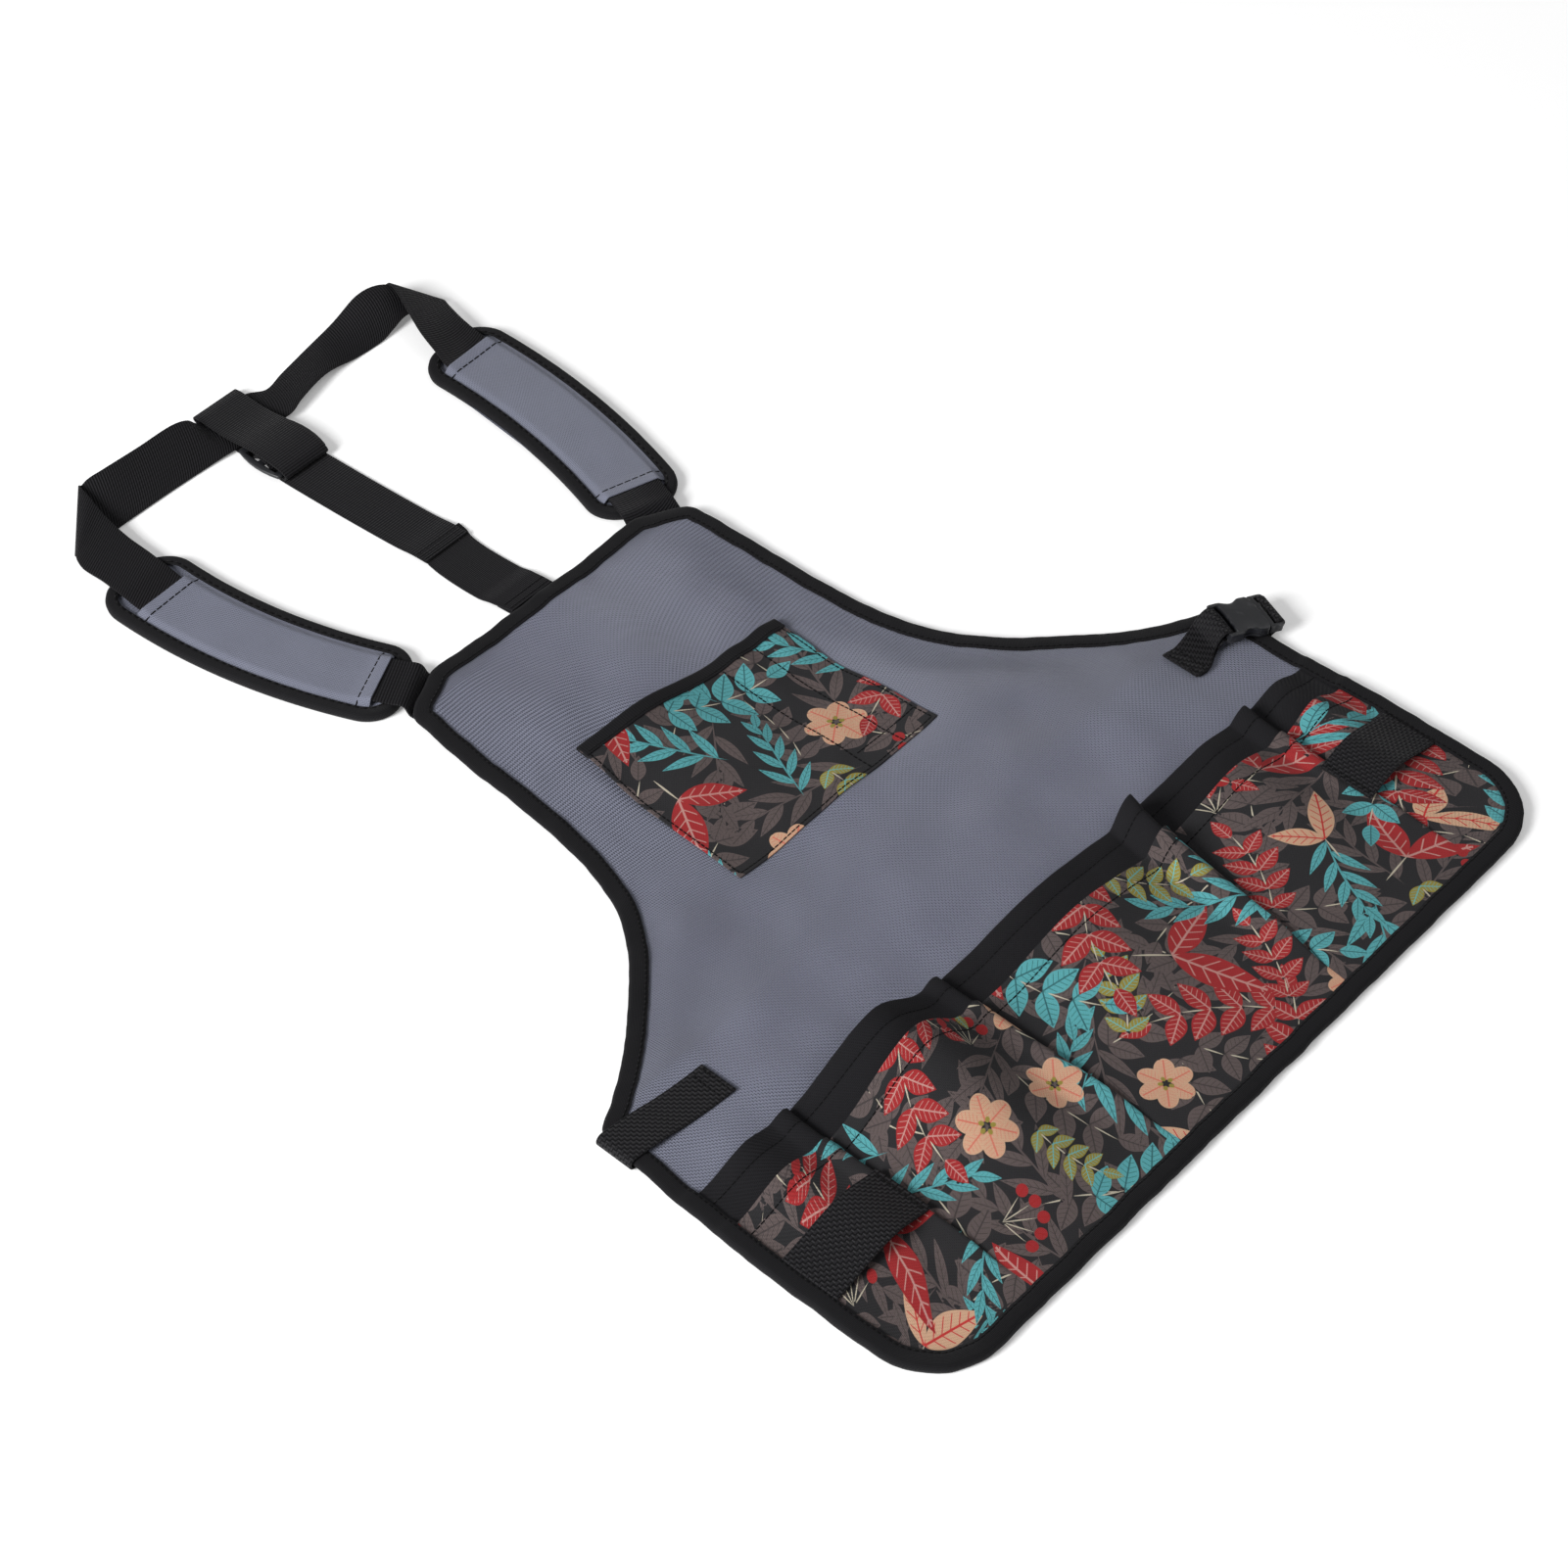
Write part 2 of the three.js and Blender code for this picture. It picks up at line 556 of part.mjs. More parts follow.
function chestBinding() {
  const half = POCKET_CLOTH / 2 + SLOT_GAP;
  const profile = foldedTape(CHEST.tape, -half - TAPE, half);
  const [hem, mouth] = CHEST_ROWS.slice(-2).map(chestRow);
  const rings = mouth.map((p, j) => {
    const up = p.clone().sub(hem[j]).normalize();
    const across = mouth[Math.min(j + 1, mouth.length - 1)].clone().sub(mouth[Math.max(j - 1, 0)]);
    const out = across.cross(up).normalize();
    return profile.map(([inset, height]) => {
      return p.clone().addScaledVector(up, TAPE + SLOT_GAP - inset).addScaledVector(out, height);
    });
  });
  return sweep(rings, profile.map(([inset, height]) => new THREE.Vector2(inset, height)));
}

function hammerLoop(side) {
  const base = FRONT_LEVEL + POCKET_CLOTH / 2 + GAP + WEBBING / 2;
  const route = Array.from({ length: LOOP_ARCH.steps + 1 }, (_, i) => {
    const t = i / LOOP_ARCH.steps;
    const x = side * THREE.MathUtils.lerp(side < 0 ? LOOP.leftSeam : LOOP.rightSeam, LOOP.edge, t);
    const arch = LOOP_ARCH.rise * bell(t, LOOP_ARCH.peak) ** LOOP_ARCH.round;
    return point(x, LOOP.y, base + LOOP.sewnRise * (1 - t) + arch);
  });
  return levelStrap(route, point(0, 1, 0), LOOP_WIDTH, WEBBING);
}

// Shoulder pads, in distance along their arc and across it

function padPoint(place, s, v, z) {
  const start = THREE.MathUtils.degToRad(place.heading);
  const turn = THREE.MathUtils.degToRad(place.turn);
  const angle = start + turn * s / PAD.length;
  const radius = PAD.length / turn;
  const x = place.x + radius * (Math.sin(angle) - Math.sin(start));
  const y = place.y - radius * (Math.cos(angle) - Math.cos(start));
  return point(x + v * Math.sin(angle), y - v * Math.cos(angle), z);
}

const PAD_FLOOR = TAPE + GAP;
const PAD_RIM = PAD_FLOOR + PAD.rim;
const PAD_COVER = PAD_RIM + GAP + PAD.cloth / 2;
const PAD_SLOT = PAD_RIM + GAP + PAD.cloth + GAP;
const PAD_OVER = PAD_SLOT + TAPE + GAP + WEBBING / 2;
const PAD_BED = PAD_RIM + GAP + WEBBING / 2;
const PAD_COLUMN = STRAP_WIDTH / 2 + 1;

// Height of the strap along a pad: over the binding at its ends, down on the padding between.
function strapOnPad(s) {
  const inside = (Math.min(s, PAD.length - s) - PAD_DIVE.from) / PAD_DIVE.run;
  return PAD_OVER + (PAD_BED - PAD_OVER) * smooth(inside);
}

function padHalf(s, inset) {
  const radius = PAD.corner - inset;
  const fromEnd = Math.min(s, PAD.length - s);
  const into = Math.max(PAD.corner - fromEnd, 0);
  return PAD.half - PAD.corner + Math.sqrt(Math.max(radius ** 2 - into ** 2, 0));
}

function padRows(inset) {
  const ends = PAD_TURNS.slice(0, -1).map((turn) => {
    return PAD.corner - (PAD.corner - inset) * Math.cos(THREE.MathUtils.degToRad(turn));
  });
  const body = Array.from({ length: PAD_STEPS + 1 }, (_, i) => {
    return THREE.MathUtils.lerp(PAD.corner, PAD.length - PAD.corner, i / PAD_STEPS);
  });
  return [...ends, ...body, ...ends.map((s) => PAD.length - s).reverse()];
}

function padBase(place) {
  const rows = padRows(PAD.inset);
  const points = [];
  for (const top of [true, false]) {
    for (const s of rows) {
      const half = padHalf(s, PAD.inset);
      const inner = Math.min(padHalf(s, PAD.tape), half - PAD_BELLY.margin) - PAD_CLEAR;
      const deep = smooth((Math.min(s, PAD.length - s) - PAD.tape - PAD_BELLY.margin) / PAD.corner);
      const middle = Math.min(PAD_BELLY.half, inner - PAD_BELLY.margin);
      for (const v of [-half, -inner, -middle, middle, inner, half]) {
        const belly = Math.abs(v) <= middle ? PAD_BELLY.drop * deep : 0;
        points.push(padPoint(place, s, v, top ? PAD_RIM : PAD_FLOOR - belly));
      }
    }
  }
  const columns = points.length / (2 * rows.length);
  const count = rows.length * columns;
  const faces = [];
  const quad = (a, b, c, d) => faces.push([a, b, c], [a, c, d]);
  for (let i = 0; i < rows.length - 1; i += 1) {
    for (let j = 0; j < columns - 1; j += 1) {
      const a = i * columns + j;
      quad(a, a + 1, a + columns + 1, a + columns);
      quad(count + a, count + a + columns, count + a + columns + 1, count + a + 1);
    }
    const left = i * columns;
    const right = left + columns - 1;
    quad(left, left + columns, count + left + columns, count + left);
    quad(right, count + right, count + right + columns, right + columns);
  }
  for (let j = 0; j < columns - 1; j += 1) {
    const far = (rows.length - 1) * columns + j;
    quad(j, count + j, count + j + 1, j + 1);
    quad(far, far + 1, count + far + 1, count + far);
  }
  return solid(points, faces);
}

function padBinding(place) {
  const turns = PAD_TURNS.map((turn) => THREE.MathUtils.degToRad(turn));
  const low = turns.map((a) => [PAD.corner * (1 - Math.cos(a)), PAD.half - PAD.corner * (1 - Math.sin(a))]);
  const sides = Array.from({ length: PAD_STEPS - 1 }, (_, i) => {
    return [THREE.MathUtils.lerp(PAD.corner, PAD.length - PAD.corner, (i + 1) / PAD_STEPS), PAD.half];
  });
  const high = low.map(([s, v]) => [PAD.length - s, v]).reverse();
  const right = [...low, ...sides, ...high];
  const around = [...right, ...right.map(([s, v]) => [s, -v]).reverse()];
  const outline = around.map(([s, v]) => padPoint(place, s, v, 0)).map((p) => new THREE.Vector2(p.x, p.y));
  const out = outwards(outline);
  return sweep(outline.map((p, i) => foldedTape(PAD.tape, 0, PAD_SLOT).map(([inset, height]) => {
    const at = p.clone().addScaledVector(out[i], -inset);
    return point(at.x, at.y, height);
  })));
}

function padCover(place) {
  const first = place.hemLow;
  const last = PAD.length - place.hemHigh;
  const clear = (s) => s > first + COVER_SPACING && s < last - COVER_SPACING;
  const between = padRows(PAD.inset).filter(clear);
  const grid = [first, ...between, last].map((s) => {
    const half = padHalf(s, PAD.inset);
    const inner = padHalf(s, PAD.tape) - PAD_CLEAR;
    const raised = strapOnPad(s) + WEBBING / 2 + GAP + PAD.cloth / 2;
    return [-half, -inner, -PAD_COLUMN, 0, PAD_COLUMN, inner, half].map((v) => {
      return padPoint(place, s, v, Math.abs(v) <= PAD_COLUMN ? raised : PAD_COVER);
    });
  });
  return slab(grid, PAD.cloth);
}

// Neck strap

function neckStrap() {
  const half = STRAP_WIDTH / 2;
  const onPad = (place, rows, nearSide) => rows.map((s) => ({
    near: padPoint(place, s, nearSide * half, strapOnPad(s)).toArray(),
    far: padPoint(place, s, -nearSide * half, strapOnPad(s)).toArray(),
  }));
  const left = onPad(PAD_PLACES[0], LEFT_PAD_ROWS, -1);
  const right = onPad(PAD_PLACES[1], RIGHT_PAD_ROWS, 1);
  return edgedStrap([...LEFT_ROOT, ...left, ...BACK_OF_NECK, ...right, ...RIGHT_ROOT], NECK_STEPS, WEBBING);
}

// Back strap in its three lengths, and the slider

function backStrapUpper() {
  const curve = eased(LOOP_ROUTE.map((p) => point(backX(p.y), p.y, p.z)), LOOP_STEPS);
  const route = curve.map((p) => p.setZ(Math.max(p.z, WEBBING / 2)));
  return levelStrap(route, point(1, 0, 0), STRAP_WIDTH, WEBBING);
}

// A length of the back strap that is lapped on another at its lower end, and lies down beyond it.
function lappedStrap(length, width) {
  const height = (y) => WEBBING / 2 + (WEBBING + GAP) * (1 - smooth((y - length.past) / length.ease));
  const down = [0, 1 / 3, 2 / 3, 1].map((share) => length.past + share * length.ease);
  const stations = [length.from, ...down, ...length.rows];
  return levelStrap(stations.map((y) => point(backX(y), y, height(y))), point(1, 0, 0), width, WEBBING);
}

function slider() {
  const half = SLIDER.width / 2 - SLIDER.bow;
  const low = -SLIDER.length / 2;
  const shape = new THREE.Shape();
  shape.moveTo(-half, low);
  shape.lineTo(half, low);
  shape.quadraticCurveTo(half + 2 * SLIDER.bow, 0, half, -low);
  shape.lineTo(-half, -low);
  shape.quadraticCurveTo(-half - 2 * SLIDER.bow, 0, -half, low);
  const slotLength = (SLIDER.length - 3 * SLIDER.bar) / 2;
  for (const side of [-1, 1]) {
    const near = side * SLIDER.bar / 2;
    const far = near + side * slotLength;
    const edgeX = SLIDER.slot / 2;
    const corners = [[-edgeX, near], [edgeX, near], [edgeX, far], [-edgeX, far]];
    shape.holes.push(new THREE.Path(corners.map(([x, y]) => new THREE.Vector2(x, y))));
  }
  const settings = { depth: SLIDER.thick, bevelEnabled: false, curveSegments: SLIDER_SEGMENTS };
  const geometry = new THREE.ExtrudeGeometry(shape, settings);
  return geometry.translate(backX(SLIDER.y), SLIDER.y, SLIDER.bottom);
}

// Buckle, in its own frame: +X from the female bar towards the male half, +Y across, +Z out of the front

const buckle = new THREE.Group();
buckle.position.set(BUCKLE.x, BUCKLE.y, BUCKLE.z);
buckle.rotation.set(0, THREE.MathUtils.degToRad(-BUCKLE.pitch), THREE.MathUtils.degToRad(BUCKLE.yaw), 'ZYX');
buckle.updateMatrix();
layout.add(buckle);

// A block given by its reach along the buckle and its sizes across it.
function block(from, to, width, thick, across = 0) {
  const box = new THREE.BoxGeometry(to - from, width, thick);
  return asManifold(box.translate((from + to) / 2, across, 0));
}

const SLOT_FROM = BAR.width / 2;
const SLOT_TO = SLOT_FROM + FEMALE.slot;
const FEMALE_END = SLOT_TO + FEMALE.body;
const MALE_START = FEMALE_END + GAP;
const MALE_SLOT = MALE_START + MALE.base;
const MALE_BAR = MALE_SLOT + MALE.slot;
const MALE_END = MALE_BAR + BAR.width;
const CAVITY = FEMALE.thick - 2 * FEMALE.plate;
const WINDOW_FROM = SLOT_TO + FEMALE.window;
const WINDOW_TO = FEMALE_END - FEMALE.window;

const BAR_CLEAR = BELT_WIDTH + BAR.clear;

// What is cut away on one side of a bar, so that the strap can turn round it.
function barRelief(barX, depth, side) {
  const relief = new THREE.BoxGeometry(BAR.width + 2 * BAR.clear, BAR_CLEAR, depth);
  return asManifold(relief.translate(barX, 0, side * (BAR.thick + depth) / 2));
}

function buckleFemale() {
  const relief = (FEMALE.thick + BAR.thick) / 2;
  const cavity = 2 * (FEMALE.half - FEMALE.wall);
  let body = block(-BAR.width / 2, FEMALE_END, 2 * FEMALE.half, FEMALE.thick);
  body = body.subtract(block(SLOT_FROM, SLOT_TO, BAR_CLEAR, 2 * FEMALE.thick));
  body = body.subtract(block(SLOT_TO + FEMALE.floor, FEMALE_END + BAR.clear, cavity, CAVITY));
  for (const side of [1, -1]) {
    body = body.subtract(barRelief(-BAR.clear, relief, side));
    body = body.subtract(block(WINDOW_FROM, WINDOW_TO, 2 * FEMALE.wall, CAVITY, side * FEMALE.half));
  }
  return asGeometry(body);
}

function buckleMale() {
  const tongue = CAVITY - 2 * GAP;
  const armAcross = FEMALE.half - FEMALE.wall - MALE.arm / 2 - 2 * GAP;
  const armFrom = MALE_START - MALE.reach;
  const armTo = MALE_START + MALE.root;
  let body = block(MALE_START, MALE_END, 2 * MALE.half, MALE.thick);
  body = body.subtract(block(MALE_SLOT, MALE_BAR, BAR_CLEAR, 2 * MALE.thick));
  body = body.add(block(armFrom, armTo, MALE.guide, tongue));
  for (const side of [1, -1]) {
    const catchAcross = side * (armAcross + FEMALE.wall);
    body = body.subtract(barRelief((MALE_BAR + MALE_END) / 2 + BAR.clear, MALE.thick, side));
    body = body.add(block(armFrom, armTo, MALE.arm, tongue, side * armAcross));
    body = body.add(block(WINDOW_FROM + 2 * GAP, WINDOW_TO - 2 * GAP, MALE.arm, tongue, catchAcross));
  }
  return asGeometry(body);
}

// Where a point of the buckle's frame lies in the apron's
const fromBuckle = (x, z) => point(x, 0, z).applyMatrix4(buckle.matrix);
const BUCKLE_ACROSS = point(0, 1, 0).transformDirection(buckle.matrix);

// A strap's turn round a bar, in the buckle's frame, between two angles in degrees.
function turnRoundBar(barX, turn) {
  return Array.from({ length: turn.steps + 1 }, (_, i) => {
    const angle = THREE.MathUtils.degToRad(THREE.MathUtils.lerp(turn.from, turn.to, i / turn.steps));
    return fromBuckle(barX + BAR.turn * Math.cos(angle), BAR.turn * Math.sin(angle));
  });
}

function buckleTab() {
  const level = (x) => ground(x, TAB.y) + PANEL_TOP + 2 * GAP + WEBBING / 2;
  const lap = WEBBING + GAP;
  const sewn = TAB.x + TAB.doubled;
  const lower = [point(TAB.x + TAB.inset, TAB.y, level(TAB.x)), point(sewn, TAB.y - TAB.sag, level(sewn))];
  const upper = [point(sewn, TAB.y - TAB.sag, level(sewn) + lap), point(TAB.x, TAB.y, level(TAB.x) + lap)];
  const below = TAB_BELOW.map((p) => fromBuckle(p.x, p.z));
  const above = TAB_ABOVE.map((p) => fromBuckle(p.x, p.z));
  const turn = turnRoundBar(0, TAB_TURN);
  const before = eased([...lower, ...below], TAB.steps);
  const after = eased([...above, ...upper], TAB.steps);
  return levelStrap([...before, ...turn, ...after], BUCKLE_ACROSS, BELT_WIDTH, WEBBING);
}

function waistBelt() {
  const floor = WEBBING / 2;
  const onPanel = (x) => ground(x, BELT_Y) + PANEL_TOP + 2 * GAP + WEBBING / 2;
  const overEdge = ground(BELT_FRONT.fold, BELT_Y) + slotTop(BELT_Y) + TAPE + GAP + WEBBING / 2;
  const frontY = (x) => BELT_Y + BELT_SLANT.rise + BELT_SLANT.slope * (x - BELT_FRONT.fold);
  const front = BELT_FRONT.rows.map((x) => point(x, frontY(x), onPanel(x)));
  front.push(point(BELT_FRONT.over, frontY(BELT_FRONT.over), overEdge));
  const radius = (overEdge - floor) / 2;
  const turn = Array.from({ length: BELT_FRONT.steps + 1 }, (_, i) => {
    const angle = Math.PI * i / BELT_FRONT.steps;
    const y = frontY(BELT_FRONT.fold);
    return point(BELT_FRONT.fold - radius * Math.sin(angle), y, floor + radius * (1 + Math.cos(angle)));
  });
  const under = BELT_UNDER.map((p) => point(p.x, p.y, floor));
  const bar = MALE_BAR + BAR.width / 2;
  const rise = BELT_RISE.map((p) => fromBuckle(bar + p.x, p.z));
  const tucked = BELT_TUCK.map((p) => fromBuckle(bar + p.x, p.z));
  const route = [...front, ...turn, ...under, ...rise, ...turnRoundBar(bar, BELT_TURN), ...tucked];
  const grid = route.map((p) => {
    const bend = smooth((p.x - BELT_BEND.from) / BELT_BEND.run);
    const across = point(0, 1, 0).lerp(BUCKLE_ACROSS, bend).normalize();
    return [-BELT_WIDTH / 2, BELT_WIDTH / 2].map((v) => p.clone().addScaledVector(across, v));
  });
  return slab(grid, WEBBING);
}

add('apron_panel', panel(), GREY_CLOTH);
add('edge_binding', binding(), BLACK_TAPE);
add('pocket_back_layer', pocketLayer('back', BACK_MOUTH, BACK_ROWS, BACK_LEVEL), BLACK_CLOTH);
add('pocket_front_layer', pocketLayer('front', FRONT_MOUTH, FRONT_ROWS, FRONT_LEVEL), PRINT_CLOTH);
add('chest_pocket', slab(CHEST_ROWS.map(chestRow), POCKET_CLOTH), PRINT_CLOTH);
add('chest_pocket_binding', chestBinding(), BLACK_TAPE);
add('hammer_loop_left', hammerLoop(-1), BLACK_WEBBING);
add('hammer_loop_right', hammerLoop(1), BLACK_WEBBING);
for (const place of PAD_PLACES) {
  add(`pad_${place.side}`, padBase(place), GREY_CLOTH);
  add(`pad_${place.side}_binding`, padBinding(place), BLACK_TAPE);
  add(`pad_${place.side}_cover`, padCover(place), GREY_CLOTH);
}
add('neck_strap', neckStrap(), BLACK_WEBBING);
add('back_strap_upper', backStrapUpper(), BLACK_WEBBING);
add('strap_slider', slider(), DARK_PLASTIC);
add('back_elastic', lappedStrap(ELASTIC, ELASTIC_WIDTH), BLACK_WEBBING);
add('back_strap_lower', lappedStrap(LOWER, STRAP_WIDTH), BLACK_WEBBING);
add('waist_belt', waistBelt(), BLACK_WEBBING);
add('buckle_tab', buckleTab(), BLACK_WEBBING);
add('buckle_female', buckleFemale(), DARK_PLASTIC, buckle);
add('buckle_male', buckleMale(), DARK_PLASTIC, buckle);

// The hem hangs a little lower on the left than on the right.
for (const mesh of layout.children.filter((child) => child.isMesh)) {
  const places = mesh.geometry.attributes.position;
  for (let i = 0; i < places.count; i += 1) {
    const fade = 1 - smooth(places.getY(i) / HEM_TILT_REACH);
    places.setY(i, places.getY(i) + HEM_TILT * places.getX(i) * fade);
  }
}

// The origin is under the middle of everything, on the surface it lies on.
const bounds = new THREE.Box3().setFromObject(layout);
const middle = bounds.getCenter(new THREE.Vector3());
layout.position.set(-middle.x, -middle.y, -bounds.min.z);

export default apron;
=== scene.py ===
"""A bib tool apron lying on its back: bound cloth, pockets, straps, pads and a buckle, over its solids."""

import itertools
import logging
import math
import random
from dataclasses import dataclass, field
from enum import Enum
from typing import Callable, Iterable, Sequence

import bmesh
import bpy
from mathutils import Matrix, Vector, noise


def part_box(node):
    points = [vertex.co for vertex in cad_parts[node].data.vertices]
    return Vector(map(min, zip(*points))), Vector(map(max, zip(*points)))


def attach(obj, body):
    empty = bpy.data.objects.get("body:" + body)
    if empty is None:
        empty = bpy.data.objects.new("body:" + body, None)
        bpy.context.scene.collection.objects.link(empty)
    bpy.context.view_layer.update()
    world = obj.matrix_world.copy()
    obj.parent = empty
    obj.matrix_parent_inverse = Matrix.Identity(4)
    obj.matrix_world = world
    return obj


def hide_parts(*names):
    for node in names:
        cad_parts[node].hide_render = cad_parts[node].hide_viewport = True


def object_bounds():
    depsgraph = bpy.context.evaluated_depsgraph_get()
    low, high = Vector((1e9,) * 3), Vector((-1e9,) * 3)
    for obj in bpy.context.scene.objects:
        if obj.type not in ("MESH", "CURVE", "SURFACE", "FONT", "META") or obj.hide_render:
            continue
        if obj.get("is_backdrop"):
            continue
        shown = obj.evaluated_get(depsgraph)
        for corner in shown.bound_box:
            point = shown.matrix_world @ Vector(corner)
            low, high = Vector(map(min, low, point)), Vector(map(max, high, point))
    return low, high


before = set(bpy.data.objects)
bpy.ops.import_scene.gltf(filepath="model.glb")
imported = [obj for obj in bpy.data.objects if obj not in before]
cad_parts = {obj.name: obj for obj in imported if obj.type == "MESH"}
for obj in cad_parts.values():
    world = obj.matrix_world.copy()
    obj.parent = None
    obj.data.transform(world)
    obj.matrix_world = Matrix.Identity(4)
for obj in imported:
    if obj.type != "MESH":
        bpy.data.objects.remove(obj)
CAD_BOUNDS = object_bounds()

LOG = logging.getLogger("apron")
MM = 0.001
UV_NAME = "cloth"

BMesh = bmesh.types.BMesh
Material = bpy.types.Material
Pair = tuple[float, float]
Point = tuple[float, float, float]
Colour = Point
Section = tuple[Vector, Vector]
Place = Callable[[float, float], Vector]


# Shape arithmetic

def lerp(a: float, b: float, t: float) -> float:
    """Return the value a share t of the way from a to b."""
    return a + (b - a) * t


def smooth(t: float) -> float:
    """Return an eased step from 0 to 1."""
    t = min(max(t, 0.0), 1.0)
    return t * t * (3 - 2 * t)


def hump(r: float) -> float:
    """Return a rounded hill, 1 at its middle and 0 from a radius of 1 outwards."""
    return (1 - r * r) ** 2 if abs(r) < 1 else 0.0


def bell(t: float, peak: float) -> float:
    """Return a bell over 0 to 1 that is level at both ends and highest at its peak."""
    return smooth(t / peak) if t < peak else smooth((1 - t) / (1 - peak))


@dataclass(frozen=True)
class Step:
    """An eased step from 0 at a start to 1 a run beyond it, or before it where the run is negative."""

    start: float
    run: float

    def at(self, x: float) -> float:
        """Return the step at a place."""
        return smooth((x - self.start) / self.run)


@dataclass(frozen=True)
class Ripple:
    """An even noise: its height and wave length in millimetres, a seed, a bias, and its squash along Y."""

    height: float
    wave: float
    seed: float
    bias: float = 0.0
    squash: float = 1.0

    def at(self, x: float, y: float) -> float:
        """Return the ripple's height at a place."""
        even = noise.noise(Vector((x / self.wave, y * self.squash / self.wave, self.seed)))
        return self.height * (even + self.bias)


class Curve:
    """A smooth curve through rows of a place and a value, level beyond its ends."""

    def __init__(self, rows: Sequence[Pair]) -> None:
        """Keep the rows, in rising order of place."""
        self.rows = list(rows)

    def slope(self, k: int) -> float:
        """Return the slope of the curve at a row."""
        before = self.rows[max(k - 1, 0)]
        after = self.rows[min(k + 1, len(self.rows) - 1)]
        return (after[1] - before[1]) / (after[0] - before[0])

    def at(self, place: float) -> float:
        """Read the curve.

        Args:
            place: where along the curve to read it.

        Returns:
            The value there.
        """
        last = len(self.rows) - 1
        x = min(max(place, self.rows[0][0]), self.rows[last][0])
        i = 0
        while i < last - 1 and x > self.rows[i + 1][0]:
            i += 1
        run = self.rows[i + 1][0] - self.rows[i][0]
        t = (x - self.rows[i][0]) / run
        ease = t * t * (3 - 2 * t)
        bend = (t ** 3 - 2 * t * t + t) * self.slope(i) + (t ** 3 - t * t) * self.slope(i + 1)
        return (1 - ease) * self.rows[i][1] + ease * self.rows[i + 1][1] + run * bend


def eased(points: Sequence[Vector], steps: int) -> list[Vector]:
    """Draw a smooth line through points, as a centripetal spline.

    Args:
        points: the points the line passes through.
        steps: how many steps the whole line has.

    Returns:
        The points of the line, one more than its steps.
    """
    first = points[0] * 2 - points[1]
    last = points[-1] * 2 - points[-2]
    knots = [first, *points, last]
    line = []
    for n in range(steps + 1):
        at = (len(points) - 1) * n / steps
        i = min(int(at), len(points) - 2)
        a, b, c, d = knots[i:i + 4]
        ab = max((b - a).length, 1e-6) ** 0.5
        bc = max((c - b).length, 1e-6) ** 0.5
        cd = max((d - c).length, 1e-6) ** 0.5
        into = ((b - a) / ab - (c - a) / (ab + bc) + (c - b) / bc) * bc
        out = ((c - b) / bc - (d - b) / (bc + cd) + (d - c) / cd) * bc
        t = at - i
        line.append(
            b * (2 * t ** 3 - 3 * t * t + 1) + into * (t ** 3 - 2 * t * t + t)
            + c * (3 * t * t - 2 * t ** 3) + out * (t ** 3 - t * t)
        )
    return line


def spaced(line: Sequence[Vector], count: int) -> list[Vector]:
    """Set points at even distances along a line, its two ends among them.

    Args:
        line: the line.
        count: how many points to set.

    Returns:
        The points.
    """
    reach = [0.0]
    for a, b in zip(line, line[1:]):
        reach.append(reach[-1] + (b - a).length)
    out = []
    k = 0
    for n in range(count):
        at = reach[-1] * n / (count - 1)
        while k < len(line) - 2 and reach[k + 1] < at:
            k += 1
        span = max(reach[k + 1] - reach[k], 1e-9)
        out.append(line[k].lerp(line[k + 1], (at - reach[k]) / span))
    return out


# Mesh building

def lay_grid(
    columns: int, rows: int, place: Place, welded: bool = False, slips: Sequence[float] = (),
) -> BMesh:
    """Lay a grid over a surface, with a UV map in metres of cloth.

    Args:
        columns: faces across.
        rows: faces along.
        place: where a share across and a share along lie in the scene.
        welded: whether edges that meet are joined, as on a tube or a ring.
        slips: how far the cloth's own place slips at each column, where cloth is taken into folds.

    Returns:
        The bmesh.
    """
    bm = bmesh.new()
    bmesh.ops.create_grid(bm, x_segments=columns, y_segments=rows, size=0.5)
    points = [[place(i / columns, j / rows) for i in range(columns + 1)] for j in range(rows + 1)]
    across = [[0.0] * (columns + 1) for _ in points]
    along = [[0.0] * (columns + 1) for _ in points]
    for j, row in enumerate(points):
        for i in range(1, columns + 1):
            across[j][i] = across[j][i - 1] + (row[i] - row[i - 1]).length
        if j:
            along[j] = [along[j - 1][i] + (p - points[j - 1][i]).length for i, p in enumerate(row)]
    uv = bm.loops.layers.uv.new(UV_NAME)
    spots = {}
    for vert in bm.verts:
        spots[vert] = (round((vert.co.x + 0.5) * columns), round((vert.co.y + 0.5) * rows))
    for face in bm.faces:
        face.smooth = True
        slip = slips[min(spots[vert][0] for vert in face.verts)] if slips else 0.0
        for loop in face.loops:
            i, j = spots[loop.vert]
            loop[uv].uv = (across[j][i] - across[j][columns] / 2 + slip, along[j][i])
    for vert, (i, j) in spots.items():
        vert.co = points[j][i]
    if welded:
        bmesh.ops.remove_doubles(bm, verts=bm.verts, dist=1e-6)
    bm.normal_update()
    return bm


def close_ends(bm: BMesh) -> None:
    """Cap a tube's open ends and turn its faces outwards."""
    rim = [edge for edge in bm.edges if edge.is_boundary]
    bmesh.ops.holes_fill(bm, edges=rim, sides=0)
    bmesh.ops.recalc_face_normals(bm, faces=bm.faces)


